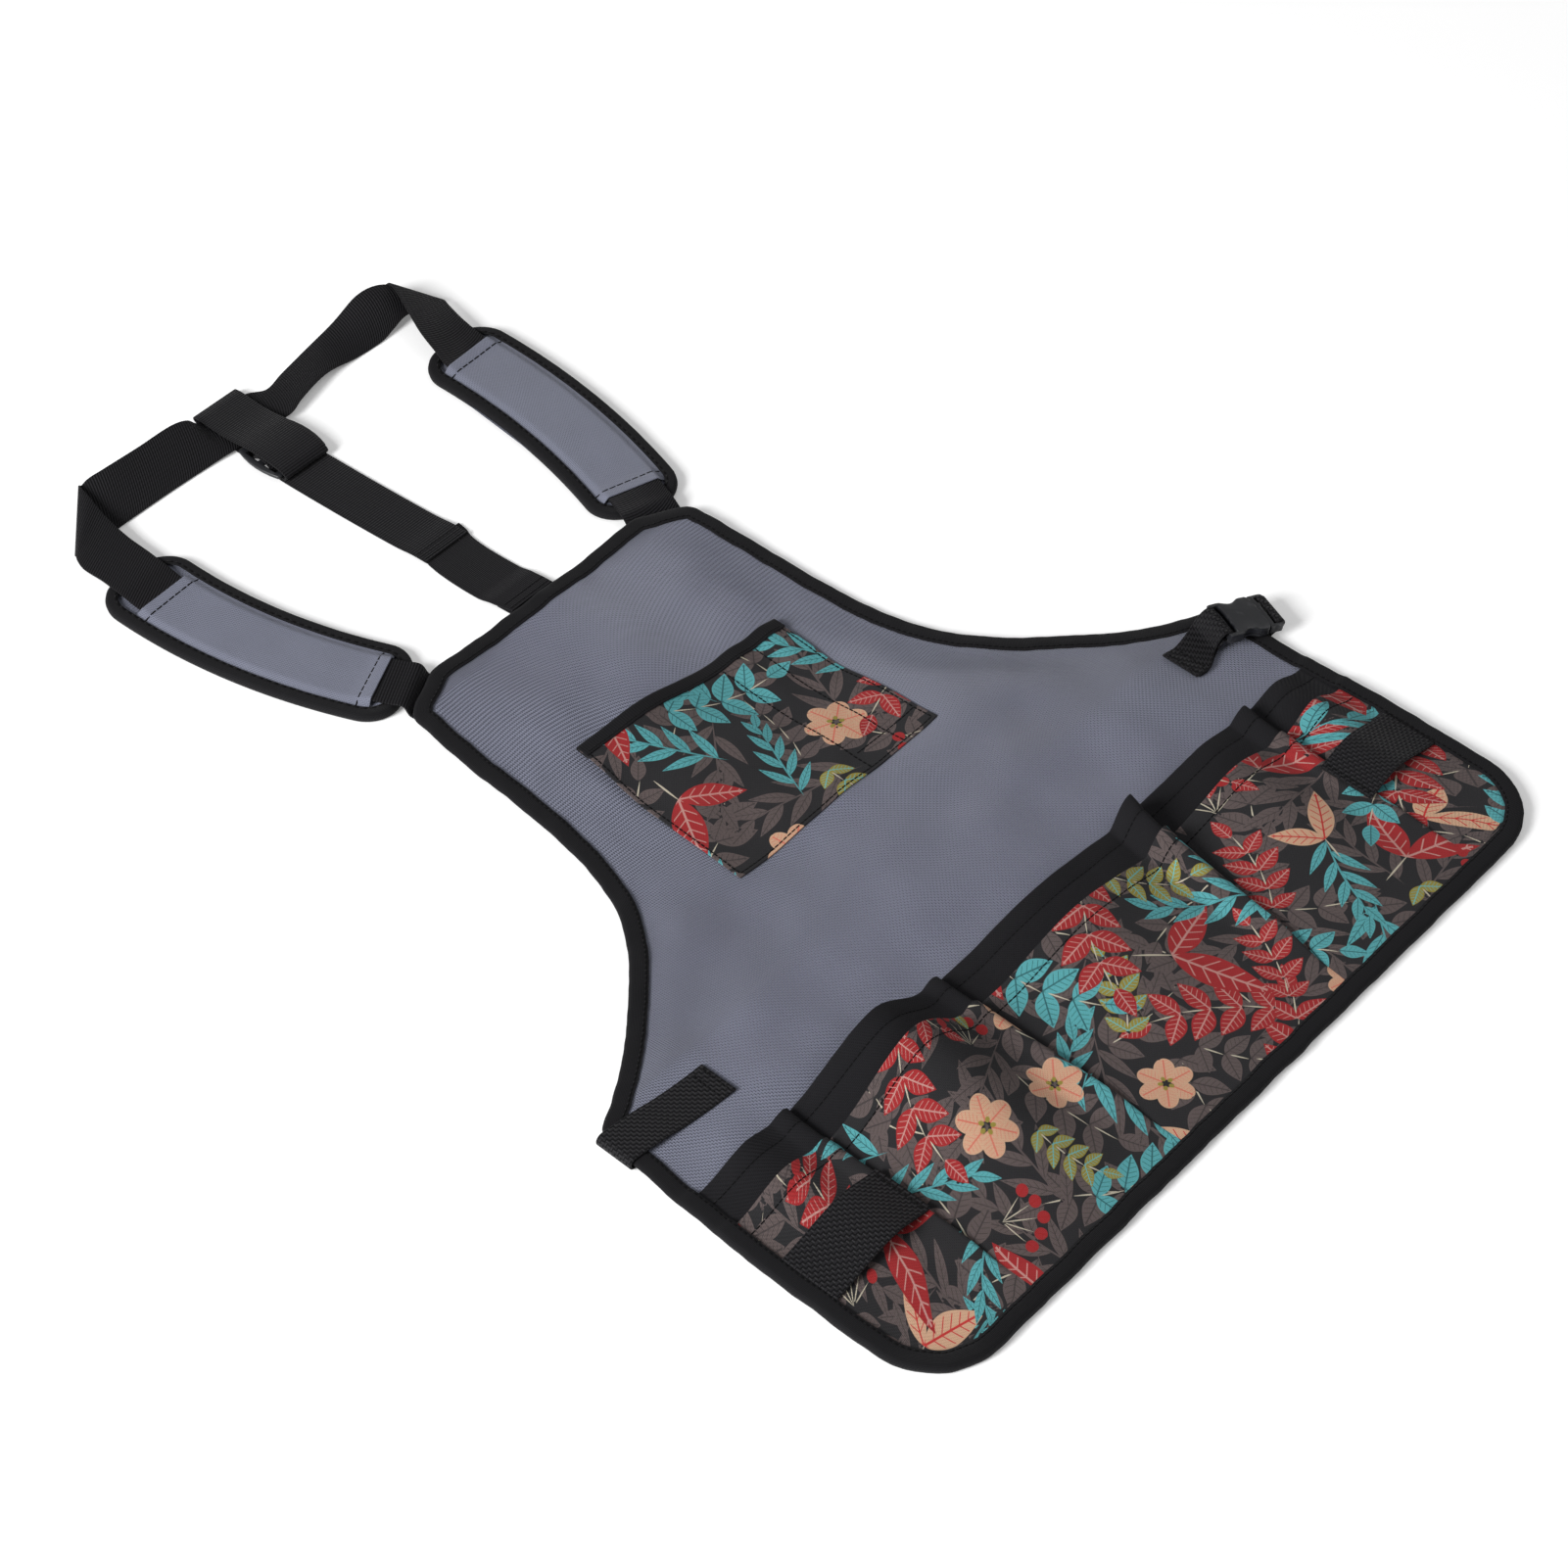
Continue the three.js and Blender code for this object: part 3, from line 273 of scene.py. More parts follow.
@dataclass(frozen=True)
class Wall:
    """The thickness a sheet gets, in millimetres, and the rounding of its cut edges."""

    thick: float
    rounding: float = 0.3
    segments: int = 2
    reverse: bool = False
    sharp: float = 62.0

    def put_on(self, obj: bpy.types.Object) -> None:
        """Add the modifiers that give an object this wall.

        Args:
            obj: a sheet without thickness.
        """
        solid = obj.modifiers.new("wall", "SOLIDIFY")
        solid.thickness = self.thick * MM
        solid.offset = 0.0
        if self.reverse:
            solid.material_offset = 1
        bevel = obj.modifiers.new("rounded edge", "BEVEL")
        bevel.width = self.rounding * MM
        bevel.segments = self.segments
        bevel.limit_method = "ANGLE"
        bevel.angle_limit = math.radians(self.sharp)


def put(
    bm: BMesh,
    name: str,
    materials: Sequence[Material],
    nodes: Sequence[str] = (),
    wall: Wall | None = None,
) -> bpy.types.Object:
    """Make a bmesh a piece of the apron.

    Args:
        bm: the mesh, which is freed.
        name: the piece's name.
        materials: its materials, in slot order.
        nodes: the CAD nodes that it stands in for.
        wall: the thickness, where the mesh is a sheet.

    Returns:
        The object.
    """
    mesh = bpy.data.meshes.new(name)
    bm.to_mesh(mesh)
    bm.free()
    for material in materials:
        mesh.materials.append(material)
    obj = bpy.data.objects.new(name, mesh)
    bpy.context.collection.objects.link(obj)
    if wall:
        wall.put_on(obj)
    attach(obj, "root")
    if nodes:
        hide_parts(*nodes)
    LOG.info("%s: %d faces", name, len(mesh.polygons))
    return obj


@dataclass(frozen=True)
class Thread:
    """A sewing thread: the length of a stitch, the step to the next, and its width, in millimetres."""

    stitch: float = 3.1
    step: float = 4.0
    width: float = 1.0
    raised: float = 0.06
    flatness: float = 0.34

    def sew(self, bm: BMesh, line: Sequence[Vector]) -> None:
        """Add stitches along a line that lies on a surface.

        Args:
            bm: the mesh that gets the stitches.
            line: the line, in the scene.
        """
        length = sum((b - a).length for a, b in zip(line, line[1:]))
        count = max(int(length / (self.step * MM)), 1)
        marks = spaced(line, 2 * count + 1)
        shape = Matrix.Diagonal((self.width / 2 * MM, self.width * self.flatness * MM, self.stitch * MM, 1.0))
        for n in range(count):
            run = (marks[2 * n + 2] - marks[2 * n]).normalized()
            side = Vector((0, 0, 1)).cross(run)
            side = side.normalized() if side.length > 0.05 else Vector((0, 1, 0))
            up = run.cross(side)
            turn = Matrix((side, up, run)).transposed().to_4x4()
            at = Matrix.Translation(marks[2 * n + 1] + up * self.raised * MM)
            bmesh.ops.create_cone(
                bm, cap_ends=True, segments=6, radius1=1.0, radius2=1.0, depth=1.0, matrix=at @ turn @ shape,
            )

    def finish(self, bm: BMesh, name: str, material: Material) -> bpy.types.Object:
        """Make the sewn stitches one piece."""
        for face in bm.faces:
            face.smooth = len(face.verts) == 4
        return put(bm, name, [material])


# Finishes

class Graph:
    """A material's nodes, with arithmetic on their sockets."""

    def __init__(self, name: str) -> None:
        """Start a material with no nodes."""
        self.material = bpy.data.materials.new(name)
        self.material.use_nodes = True
        self.tree = self.material.node_tree
        self.tree.nodes.clear()

    def node(
        self, kind: str, feeds: dict[int | str, object] | None = None, **settings: object,
    ) -> bpy.types.Node:
        """Add a node.

        Args:
            kind: its type.
            feeds: its inputs, by number or name, and what each gets.
            settings: its properties.

        Returns:
            The node.
        """
        made = self.tree.nodes.new(kind)
        for key, value in settings.items():
            setattr(made, key, value)
        for key, value in (feeds or {}).items():
            self.feed(made.inputs[key], value)
        return made

    def feed(self, socket: bpy.types.NodeSocket, value: object) -> None:
        """Link a term or a socket into a socket, or set the socket.

        Args:
            socket: the socket that is fed.
            value: a term, a socket, a number, a vector or a colour.
        """
        if isinstance(value, Term):
            self.tree.links.new(value.socket, socket)
        elif isinstance(value, bpy.types.NodeSocket):
            self.tree.links.new(value, socket)
        elif isinstance(value, tuple) and len(value) == 3 and socket.type == "RGBA":
            socket.default_value = (*value, 1.0)
        else:
            socket.default_value = value

    def math(self, operation: str, *values: object) -> "Term":
        """Add a Math node and return its result."""
        made = self.node("ShaderNodeMath", dict(enumerate(values)), operation=operation)
        return Term(self, made.outputs[0])

    def mix(self, share: object, first: object, second: object) -> "Term":
        """Mix two colours by a share."""
        made = self.node("ShaderNodeMix", {0: share, 6: first, 7: second}, data_type="RGBA")
        return Term(self, made.outputs[2])

    def cloth_place(self) -> tuple["Term", "Term"]:
        """Return the two distances on the cloth, in millimetres."""
        chart = self.node("ShaderNodeUVMap", uv_map=UV_NAME)
        split = self.node("ShaderNodeSeparateXYZ", {0: chart.outputs[0]})
        return Term(self, split.outputs[0]) * 1000.0, Term(self, split.outputs[1]) * 1000.0

    def object_noise(self, scale: float, detail: float) -> "Term":
        """Return a noise on Object coordinates, about one half, with a scale in waves to the metre."""
        place = self.node("ShaderNodeTexCoord").outputs["Object"]
        made = self.node("ShaderNodeTexNoise", {"Vector": place, "Scale": scale, "Detail": detail})
        return Term(self, made.outputs[0])

    def bump(self, height: "Term", depth: float, strength: float = 1.0) -> bpy.types.NodeSocket:
        """Return a normal from a height of 0 to 1 and its depth in millimetres."""
        feeds = {"Strength": strength, "Distance": depth * MM, "Height": height}
        return self.node("ShaderNodeBump", feeds).outputs[0]

    def surface(self, **inputs: object) -> Material:
        """End in a Principled surface with the given inputs.

        Args:
            inputs: socket names, with underscores for spaces, and what they get.

        Returns:
            The material.
        """
        feeds = {key.replace("_", " "): value for key, value in inputs.items()}
        shader = self.node("ShaderNodeBsdfPrincipled", feeds)
        self.node("ShaderNodeOutputMaterial", {"Surface": shader.outputs[0]})
        return self.material


class Term:
    """A number that a material's nodes work out."""

    def __init__(self, graph: Graph, socket: bpy.types.NodeSocket) -> None:
        """Keep the graph and the socket."""
        self.graph = graph
        self.socket = socket

    def __add__(self, other: object) -> "Term":
        """Add."""
        return self.graph.math("ADD", self, other)

    def __sub__(self, other: object) -> "Term":
        """Subtract."""
        return self.graph.math("SUBTRACT", self, other)

    def __rsub__(self, other: object) -> "Term":
        """Subtract from a number."""
        return self.graph.math("SUBTRACT", other, self)

    def __mul__(self, other: object) -> "Term":
        """Multiply."""
        return self.graph.math("MULTIPLY", self, other)

    def __truediv__(self, other: object) -> "Term":
        """Divide."""
        return self.graph.math("DIVIDE", self, other)

    def __pow__(self, other: object) -> "Term":
        """Raise to a power."""
        return self.graph.math("POWER", self, other)

    def __lt__(self, other: object) -> "Term":
        """Return 1 where it is less."""
        return self.graph.math("LESS_THAN", self, other)

    def __gt__(self, other: object) -> "Term":
        """Return 1 where it is greater."""
        return self.graph.math("GREATER_THAN", self, other)

    def abs(self) -> "Term":
        """Return its size without its sign."""
        return self.graph.math("ABSOLUTE", self)

    def sine(self) -> "Term":
        """Return its sine, the term in radians."""
        return self.graph.math("SINE", self)

    def root(self) -> "Term":
        """Return its square root, 0 for less than 0."""
        return self.graph.math("SQRT", self.graph.math("MAXIMUM", self, 0.0))

    def part(self) -> "Term":
        """Return its fraction over the whole number below."""
        return self.graph.math("FRACT", self)

    def between(self, low: float, high: float) -> "Term":
        """Return an eased step from 0 at low to 1 at high."""
        feeds = {"Value": self, "From Min": low, "From Max": high}
        made = self.graph.node("ShaderNodeMapRange", feeds, interpolation_type="SMOOTHSTEP")
        return Term(self.graph, made.outputs[0])


class Weave(Enum):
    """How the threads of a cloth cross."""

    PLAIN = "plain"
    RIB = "rib"
    BASKET = "basket"
    SATIN = "satin"


@dataclass(frozen=True)
class ClothFinish:
    """A woven cloth: its colour, weave, thread pitch and depth in millimetres, its sheen, and the strength of
    the painted shade between its threads.
    """

    name: str
    colour: Colour
    weave: Weave
    pitch: float
    depth: float
    rough: float = 0.86
    sheen: float = 0.25
    shine: float = 0.25
    mottle: float = 0.18
    # strength of the painted shade between the threads and the painted light on their tops
    thread_shading: float = 0.5

    BLOTCHES = (28.0, 3.0)
    GRAIN = (900.0, 2.0)
    EVEN_THREADS = 0.55

    def threads(self, graph: Graph) -> Term:
        """Work out the height of the threads from the cloth's own UV map.

        Args:
            graph: the material's nodes.

        Returns:
            The height, 0 to 1.
        """
        across, along = graph.cloth_place()
        turn = math.pi / self.pitch
        if self.weave is Weave.RIB:
            ribs = (along * turn).sine().abs()
            cords = (across * (turn * 0.62)).sine().abs()
            return ribs * 0.7 + cords * ribs * 0.3
        if self.weave is Weave.SATIN:
            return ((across * turn).sine() * (along * turn * 0.5).sine()).abs()
        warp = (across * turn).sine()
        weft = (along * turn).sine()
        feeds = {0: (warp * weft) > 0.0, 2: warp.abs(), 3: weft.abs()}
        return Term(graph, graph.node("ShaderNodeMix", feeds, data_type="FLOAT").outputs[0])

    def tint(self, graph: Graph, colour: object, threads: Term) -> Term:
        """Give a colour soft blotches, with painted shade in the hollows between the threads and painted
        light on their tops.

        Args:
            graph: the material's nodes.
            colour: the cloth's colour, a term or three numbers.
            threads: the height of the threads.

        Returns:
            The tinted colour.
        """
        blotch = graph.object_noise(*self.BLOTCHES)
        grain = graph.object_noise(*self.GRAIN)
        # painted shade where the threads sink and painted light on their tops, added to the random blotches
        tone_and_thread_shade = (blotch - 0.5) * self.mottle + (grain - 0.5) * self.mottle + threads * self.thread_shading
        tone_and_thread_shade = tone_and_thread_shade + (1 - self.EVEN_THREADS * self.thread_shading)
        feeds = {0: 1.0, 6: colour, 7: tone_and_thread_shade}
        made = graph.node("ShaderNodeMix", feeds, data_type="RGBA", blend_type="MULTIPLY")
        return Term(graph, made.outputs[2])

    def build(self) -> Material:
        """Make the material."""
        graph = Graph(self.name)
        threads = self.threads(graph)
        return self.dressed(graph, self.colour, threads)

    def dressed(self, graph: Graph, colour: object, threads: Term) -> Material:
        """Make the surface from a colour and the threads' height."""
        return graph.surface(
            Base_Color=self.tint(graph, colour, threads),
            Roughness=1.0 - threads * (1 - self.rough),
            Sheen_Weight=self.sheen,
            Sheen_Roughness=0.45,
            Specular_IOR_Level=self.shine,
            Normal=graph.bump(threads, self.depth),
        )


@dataclass(frozen=True)
class PlasticFinish:
    """A moulded plastic with a fine grain."""

    name: str
    colour: Colour
    rough: float = 0.42

    def build(self) -> Material:
        """Make the material."""
        graph = Graph(self.name)
        grain = graph.object_noise(2600.0, 2.0)
        cloud = graph.object_noise(120.0, 4.0)
        worn = graph.mix((cloud - 0.5).between(0.08, 0.25) * 0.5, self.colour, (0.06, 0.06, 0.065))
        return graph.surface(
            Base_Color=worn,
            Roughness=cloud * 0.16 + (self.rough - 0.08),
            Normal=graph.bump(grain, 0.05, 0.6),
        )


@dataclass(frozen=True)
class PrintStyle:
    """One printed shape: its colours, whether it is oval or pointed, and how strong its veins are."""

    name: str
    colour: Colour
    vein: Colour
    oval: float
    veins: float


@dataclass(frozen=True)
class PrintedLeaf:
    """A leaf, petal or berry of the print, from its foot, in millimetres on the flat cloth."""

    x: float
    y: float
    angle: float
    length: float
    half: float
    style: int

    def local(self, u: float, v: float) -> Pair:
        """Return how far along the leaf and how far across it a place on the cloth is."""
        dx = u - self.x
        dy = v - self.y
        c = math.cos(self.angle)
        s = math.sin(self.angle)
        return (dx * c + dy * s) / self.length, (dy * c - dx * s) / self.half

    def covers(self, u: float, v: float, slack: float) -> bool:
        """Return whether the leaf reaches a place on the cloth, or comes within a slack of it."""
        along, across = self.local(u, v)
        held = min(max(along, 0.0), 1.0)
        near = abs(along - held) * self.length < slack
        oval = math.sqrt(1 - (2 * held - 1) ** 2)
        wide = oval if STYLES[self.style].oval else math.sin(math.pi * held ** LEAF_FULLNESS)
        return near and (abs(across) - wide) * self.half < 1.6 * slack


class Motif(Enum):
    """The repeated figures of the print."""

    SPRIG = "sprig"
    WILLOW = "willow"
    BLOSSOM = "blossom"
    BAY = "bay"
    BERRIES = "berries"


LEAF_FULLNESS = 0.8

RED: Colour = (0.27, 0.02, 0.022)
TEAL: Colour = (0.08, 0.3, 0.32)
PEACH: Colour = (0.47, 0.29, 0.19)
OLIVE: Colour = (0.23, 0.19, 0.04)
TAUPE: Colour = (0.088, 0.068, 0.066)
CHARCOAL: Colour = (0.018, 0.0175, 0.019)

STYLES = (
    PrintStyle("bare", CHARCOAL, CHARCOAL, 0.0, 0.0),
    PrintStyle("red leaf", RED, (0.4, 0.2, 0.18), 0.0, 1.0),
    PrintStyle("teal leaf", TEAL, (0.03, 0.11, 0.12), 0.0, 1.0),
    PrintStyle("peach leaf", PEACH, (0.42, 0.03, 0.03), 0.0, 1.0),
    PrintStyle("olive leaf", OLIVE, (0.1, 0.36, 0.36), 0.0, 1.0),
    PrintStyle("taupe leaf", TAUPE, CHARCOAL, 0.0, 0.6),
    PrintStyle("red petal", RED, (0.25, 0.012, 0.012), 1.0, 0.7),
    PrintStyle("peach petal", PEACH, (0.5, 0.06, 0.05), 1.0, 0.7),
    PrintStyle("olive oval", OLIVE, (0.12, 0.09, 0.02), 1.0, 0.0),
    PrintStyle("pale stalk", (0.4, 0.36, 0.28), (0.4, 0.36, 0.28), 0.0, 0.0),
)


@dataclass(frozen=True)
class Spot:
    """Where a figure of the print stands: its middle, heading, size and style."""

    x: float
    y: float
    angle: float
    size: float
    style: str

    def away(self, share: float, angle: float) -> Pair:
        """Return the place a share of the size away at an angle."""
        return self.x + self.size * share * math.cos(angle), self.y + self.size * share * math.sin(angle)


@dataclass
class PrintDesign:
    """A scatter of sprigs, leaves, blossoms and berries over a flat piece of cloth."""

    seed: int
    wide: float
    high: float
    cell: float = 54.0
    row: float = 0.87
    jitter: float = 0.16
    leaves: list[PrintedLeaf] = field(default_factory=list)

    BIN = 8

    def leaf(self, foot: Pair, angle: float, length: float, half: float, style: str) -> None:
        """Add one printed shape."""
        index = [row.name for row in STYLES].index(style)
        self.leaves.append(PrintedLeaf(*foot, angle, length, half, index))

    def sprig(self, spot: Spot) -> None:
        """Add a bent stalk with pairs of ovate leaves and one at its tip."""
        bend = 0.5
        pairs = 4
        for n in range(pairs + 1):
            t = n / pairs
            heading = spot.angle + bend * (t - 0.5)
            foot = spot.away(t - 0.5, spot.angle + bend * (t - 0.5) / 2)
            if n < pairs:
                self.leaf(foot, heading, spot.size / pairs * 1.05, 0.5, "pale stalk")
            big = spot.size * (0.36 - 0.12 * abs(t - 0.4))
            turns = (0.0,) if n == pairs else (0.95, -0.95)
            for turn in turns:
                self.leaf(foot, heading + turn, big, big * 0.27, spot.style)

    def willow(self, spot: Spot) -> None:
        """Add a spray of long thin leaves set by turns on either side of a stalk."""
        size = spot.size
        for n in range(9):
            t = n / 8
            turn = (0.7 if n % 2 else -0.7) * (1 - 0.5 * t)
            foot = spot.away(t - 0.5, spot.angle)
            self.leaf(foot, spot.angle + turn, size * (0.44 - 0.16 * t), size * 0.05, spot.style)
        self.leaf(spot.away(-0.6, spot.angle), spot.angle, size * 1.2, 0.6, spot.style)

    def blossom(self, spot: Spot) -> None:
        """Add an open flower of six rounded petals about a cluster of dots."""
        size = spot.size
        for n in range(6):
            turn = spot.angle + n * math.pi / 3
            self.leaf(spot.away(0.07, turn), turn, size * 0.42, size * 0.17, spot.style)
        for n in range(5):
            turn = spot.angle + n * math.tau / 5
            self.leaf(spot.away(0.05, turn), turn, size * 0.09, size * 0.036, "olive oval")

    def bay(self, spot: Spot) -> None:
        """Add a pair of broad veined leaves on one stalk."""
        size = spot.size
        self.leaf(spot.away(-0.45, spot.angle), spot.angle, size * 0.35, 0.6, "pale stalk")
        fork = spot.away(-0.15, spot.angle)
        self.leaf(fork, spot.angle + 0.95, size * 0.6, size * 0.12, spot.style)
        self.leaf(fork, spot.angle - 0.5, size * 0.78, size * 0.14, spot.style)

    def berries(self, spot: Spot) -> None:
        """Add a forked stalk with round berries."""
        for n in range(5):
            turn = spot.angle + (n - 2) * 0.42
            reach = 0.42 - 0.03 * abs(n - 2)
            self.leaf((spot.x, spot.y), turn, spot.size * reach, 0.4, "pale stalk")
            self.leaf(spot.away(reach, turn), turn, spot.size * 0.15, spot.size * 0.075, spot.style)

    def scatter(self, motifs: Sequence[tuple[Motif, str, float]], offset: float) -> None:
        """Set motifs out on a jittered lattice.

        Args:
            motifs: figures in the order they are dealt out, each with its style and size.
            offset: a shift of the lattice, as a share of its cell.
        """
        rng = random.Random(self.seed + int(offset * 100))
        makers = {motif: getattr(self, motif.value) for motif in Motif}
        rows = int(self.high / (self.cell * self.row)) + 3
        columns = int(self.wide / self.cell) + 3
        deck: list[tuple[Motif, str, float]] = []
        for j in range(-1, rows):
            for i in range(-1, columns):
                if not deck:
                    deck = list(motifs)
                    rng.shuffle(deck)
                motif, style, size = deck.pop()
                x = (i + offset + 0.5 * (j % 2)) * self.cell - self.wide / 2
                y = (j + offset) * self.cell * self.row
                x += rng.uniform(-self.jitter, self.jitter) * self.cell
                y += rng.uniform(-self.jitter, self.jitter) * self.cell
                angle = rng.uniform(0, math.tau)
                makers[motif](Spot(x, y, angle, size * rng.uniform(0.88, 1.12), style))

    def fill(self) -> None:
        """Lay the ground sprays, then the bright figures over them."""
        self.scatter(((Motif.WILLOW, "taupe leaf", 78.0), (Motif.SPRIG, "taupe leaf", 70.0)), 0.5)
        self.scatter(
            (
                (Motif.SPRIG, "red leaf", 76.0), (Motif.WILLOW, "teal leaf", 78.0),
                (Motif.BAY, "peach leaf", 58.0), (Motif.SPRIG, "teal leaf", 68.0),
                (Motif.BAY, "red leaf", 74.0), (Motif.BERRIES, "red petal", 48.0),
                (Motif.SPRIG, "red leaf", 62.0), (Motif.BLOSSOM, "peach petal", 38.0),
                (Motif.WILLOW, "teal leaf", 66.0), (Motif.SPRIG, "olive leaf", 50.0),
            ),
            0.0,
        )

    def stamp(self, bm: BMesh) -> None:
        """Write each face's topmost printed shapes to its corners.

        Args:
            bm: a mesh of the cloth with its UV map.
        """
        uv = bm.loops.layers.uv[UV_NAME]
        layers = [bm.loops.layers.float_vector.new(name) for name in PrintFinish.LAYERS]
        bins: dict[tuple[int, int], list[PrintedLeaf]] = {}
        for leaf in self.leaves:
            reach = leaf.length + leaf.half
            spans = []
            for at in (leaf.x, leaf.y):
                spans.append(range(int((at - reach) // self.BIN), int((at + reach) // self.BIN) + 1))
            for spot in itertools.product(*spans):
                bins.setdefault(spot, []).append(leaf)
        for face in bm.faces:
            corners = [loop[uv].uv * 1000 for loop in face.loops]
            middle = sum(corners, Vector((0, 0))) / len(corners)
            reach = max((corner - middle).length for corner in corners)
            near = []
            here = (int(middle.x // self.BIN), int(middle.y // self.BIN))
            for leaf in reversed(bins.get(here, ())):
                if leaf.covers(middle.x, middle.y, reach):
                    near.append(leaf)
                if len(near) == len(layers):
                    break
            for layer, leaf in zip(layers, near):
                for loop, corner in zip(face.loops, corners):
                    loop[layer] = Vector((*leaf.local(corner.x, corner.y), float(leaf.style)))


@dataclass(frozen=True)
class PrintFinish(ClothFinish):
    """A cloth with a print of leaves and flowers, drawn from what each face's corners carry."""

    LAYERS = ("print_top", "print_middle", "print_under")

    def ramp(self, graph: Graph, style: Term, colours: Sequence[Colour]) -> bpy.types.NodeSocket:
        """Read a style's colour from a stepped ramp.

        Args:
            graph: the material's nodes.
            style: the style's number.
            colours: a colour for each style.

        Returns:
            The colour.
        """
        count = len(colours)
        made = graph.node("ShaderNodeValToRGB", {0: style / float(count)})
        made.color_ramp.interpolation = "CONSTANT"
        stops = made.color_ramp.elements
        while len(stops) < count:
            stops.new(1.0)
        for n, colour in enumerate(colours):
            stops[n].position = max(n - 0.5, 0) / count
            stops[n].color = (*colour, 1.0)
        return made.outputs[0]

    def layer(self, graph: Graph, name: str, under: object) -> Term:
        """Paint one layer of printed shapes over a colour.

        Args:
            graph: the material's nodes.
            name: the corner attribute with the place in the shape and its style.
            under: the colour below.

        Returns:
            The colour with the shapes on it.
        """
        read = graph.node("ShaderNodeAttribute", attribute_name=name)
        split = graph.node("ShaderNodeSeparateXYZ", {0: read.outputs["Vector"]})
        along, across, style = (Term(graph, socket) for socket in split.outputs)
        flags = tuple((row.oval, row.veins, 0.0) for row in STYLES)
        shape = graph.node("ShaderNodeSeparateXYZ", {0: self.ramp(graph, style, flags)})
        oval, veins = (Term(graph, socket) for socket in shape.outputs[:2])
        held = graph.math("MAXIMUM", along, 0.0)
        pointed = ((held ** LEAF_FULLNESS) * math.pi).sine()
        rounded = (1.0 - (along * 2.0 - 1.0) * (along * 2.0 - 1.0)).root()
        wide = pointed + (rounded - pointed) * oval
        side = across.abs()
        inside = (side < wide) * (along > 0.0) * (along < 1.0) * (style > 0.5)
        rib = side < 0.07
        slanted = ((along - side * 0.16) * 7.0).part()
        branch = (slanted < 0.13) * (side < wide * 0.82)
        vein = graph.math("MAXIMUM", rib * (along < 0.93), branch) * veins
        face = self.ramp(graph, style, [row.colour for row in STYLES])
        line = self.ramp(graph, style, [row.vein for row in STYLES])
        return graph.mix(inside, under, graph.mix(vein, face, line))

    def build(self) -> Material:
        """Make the material."""
        graph = Graph(self.name)
        threads = self.threads(graph)
        colour: object = self.colour
        for name in reversed(self.LAYERS):
            colour = self.layer(graph, name, colour)
        return self.dressed(graph, colour, threads)


class Finishes:
    """The materials of the apron."""

    def __init__(self) -> None:
        """Make each material once."""
        dark = {"sheen": 0.04, "shine": 0.12}
        # the straps' weave gets strong painted shade between its threads and painted light on their tops
        woven = {"rough": 0.55, "sheen": 0.03, "shine": 0.17, "thread_shading": 1.3}
        grey = (0.14, 0.147, 0.194)
        pad = (0.155, 0.164, 0.214)
        cloth = (0.0105, 0.0102, 0.0118)
        tape = (0.0085, 0.0083, 0.0095)
        webbing = (0.0068, 0.0064, 0.0078)
        thread = (0.004, 0.004, 0.0045)
        plain = Weave.PLAIN
        self.grey = ClothFinish("grey cloth", grey, plain, 1.5, 0.5, sheen=0.16, thread_shading=0.7).build()
        self.pad_grey = ClothFinish("pad cloth", pad, plain, 1.1, 0.3, sheen=0.16).build()
        self.print = PrintFinish("printed cloth", CHARCOAL, plain, 1.0, 0.16, sheen=0.06, shine=0.15).build()
        self.plain = ClothFinish("back of the print", CHARCOAL, plain, 1.0, 0.16, sheen=0.06).build()
        self.black = ClothFinish("black cloth", cloth, plain, 1.0, 0.2, **dark).build()
        self.tape = ClothFinish("black tape", tape, Weave.SATIN, 0.9, 0.15, 0.72, **dark).build()
        self.webbing = ClothFinish("webbing", webbing, Weave.RIB, 1.9, 0.8, **woven).build()
        self.ribbed = ClothFinish("elastic", webbing, Weave.RIB, 1.3, 0.5, **woven).build()
        self.basket = ClothFinish("loop webbing", webbing, Weave.BASKET, 2.3, 1.1, **woven).build()
        self.thread = ClothFinish("black thread", thread, Weave.SATIN, 0.5, 0.05, **dark).build()
        self.plastic = PlasticFinish("moulded plastic", (0.0115, 0.012, 0.0145)).build()


# The apron's cut and how it lies

@dataclass
class Layout:
    """The apron's own frame, in millimetres from the middle of its hem, set in the scene."""

    bib_top: float = 592.0
    hem_tilt: float = 0.018
    tilt_reach: float = 230.0
    origin: Vector = field(init=False)

    def __post_init__(self) -> None:
        """Find the frame from the bound edge."""
        low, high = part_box("edge_binding")
        self.origin = Vector(((low[0] + high[0]) / 2, high[1] - self.bib_top * MM, 0.0))

    def place(self, p: Vector) -> Vector:
        """Return where a point of the layout lies in the scene, the hem hanging lower on the left."""
        tilt = self.hem_tilt * p.x * (1 - smooth(p.y / self.tilt_reach))
        return Vector((p.x, p.y + tilt, p.z)) * MM + self.origin

    def line(self, points: Iterable[Vector]) -> list[Vector]:
        """Return a line of the layout in the scene."""
        return [self.place(p) for p in points]


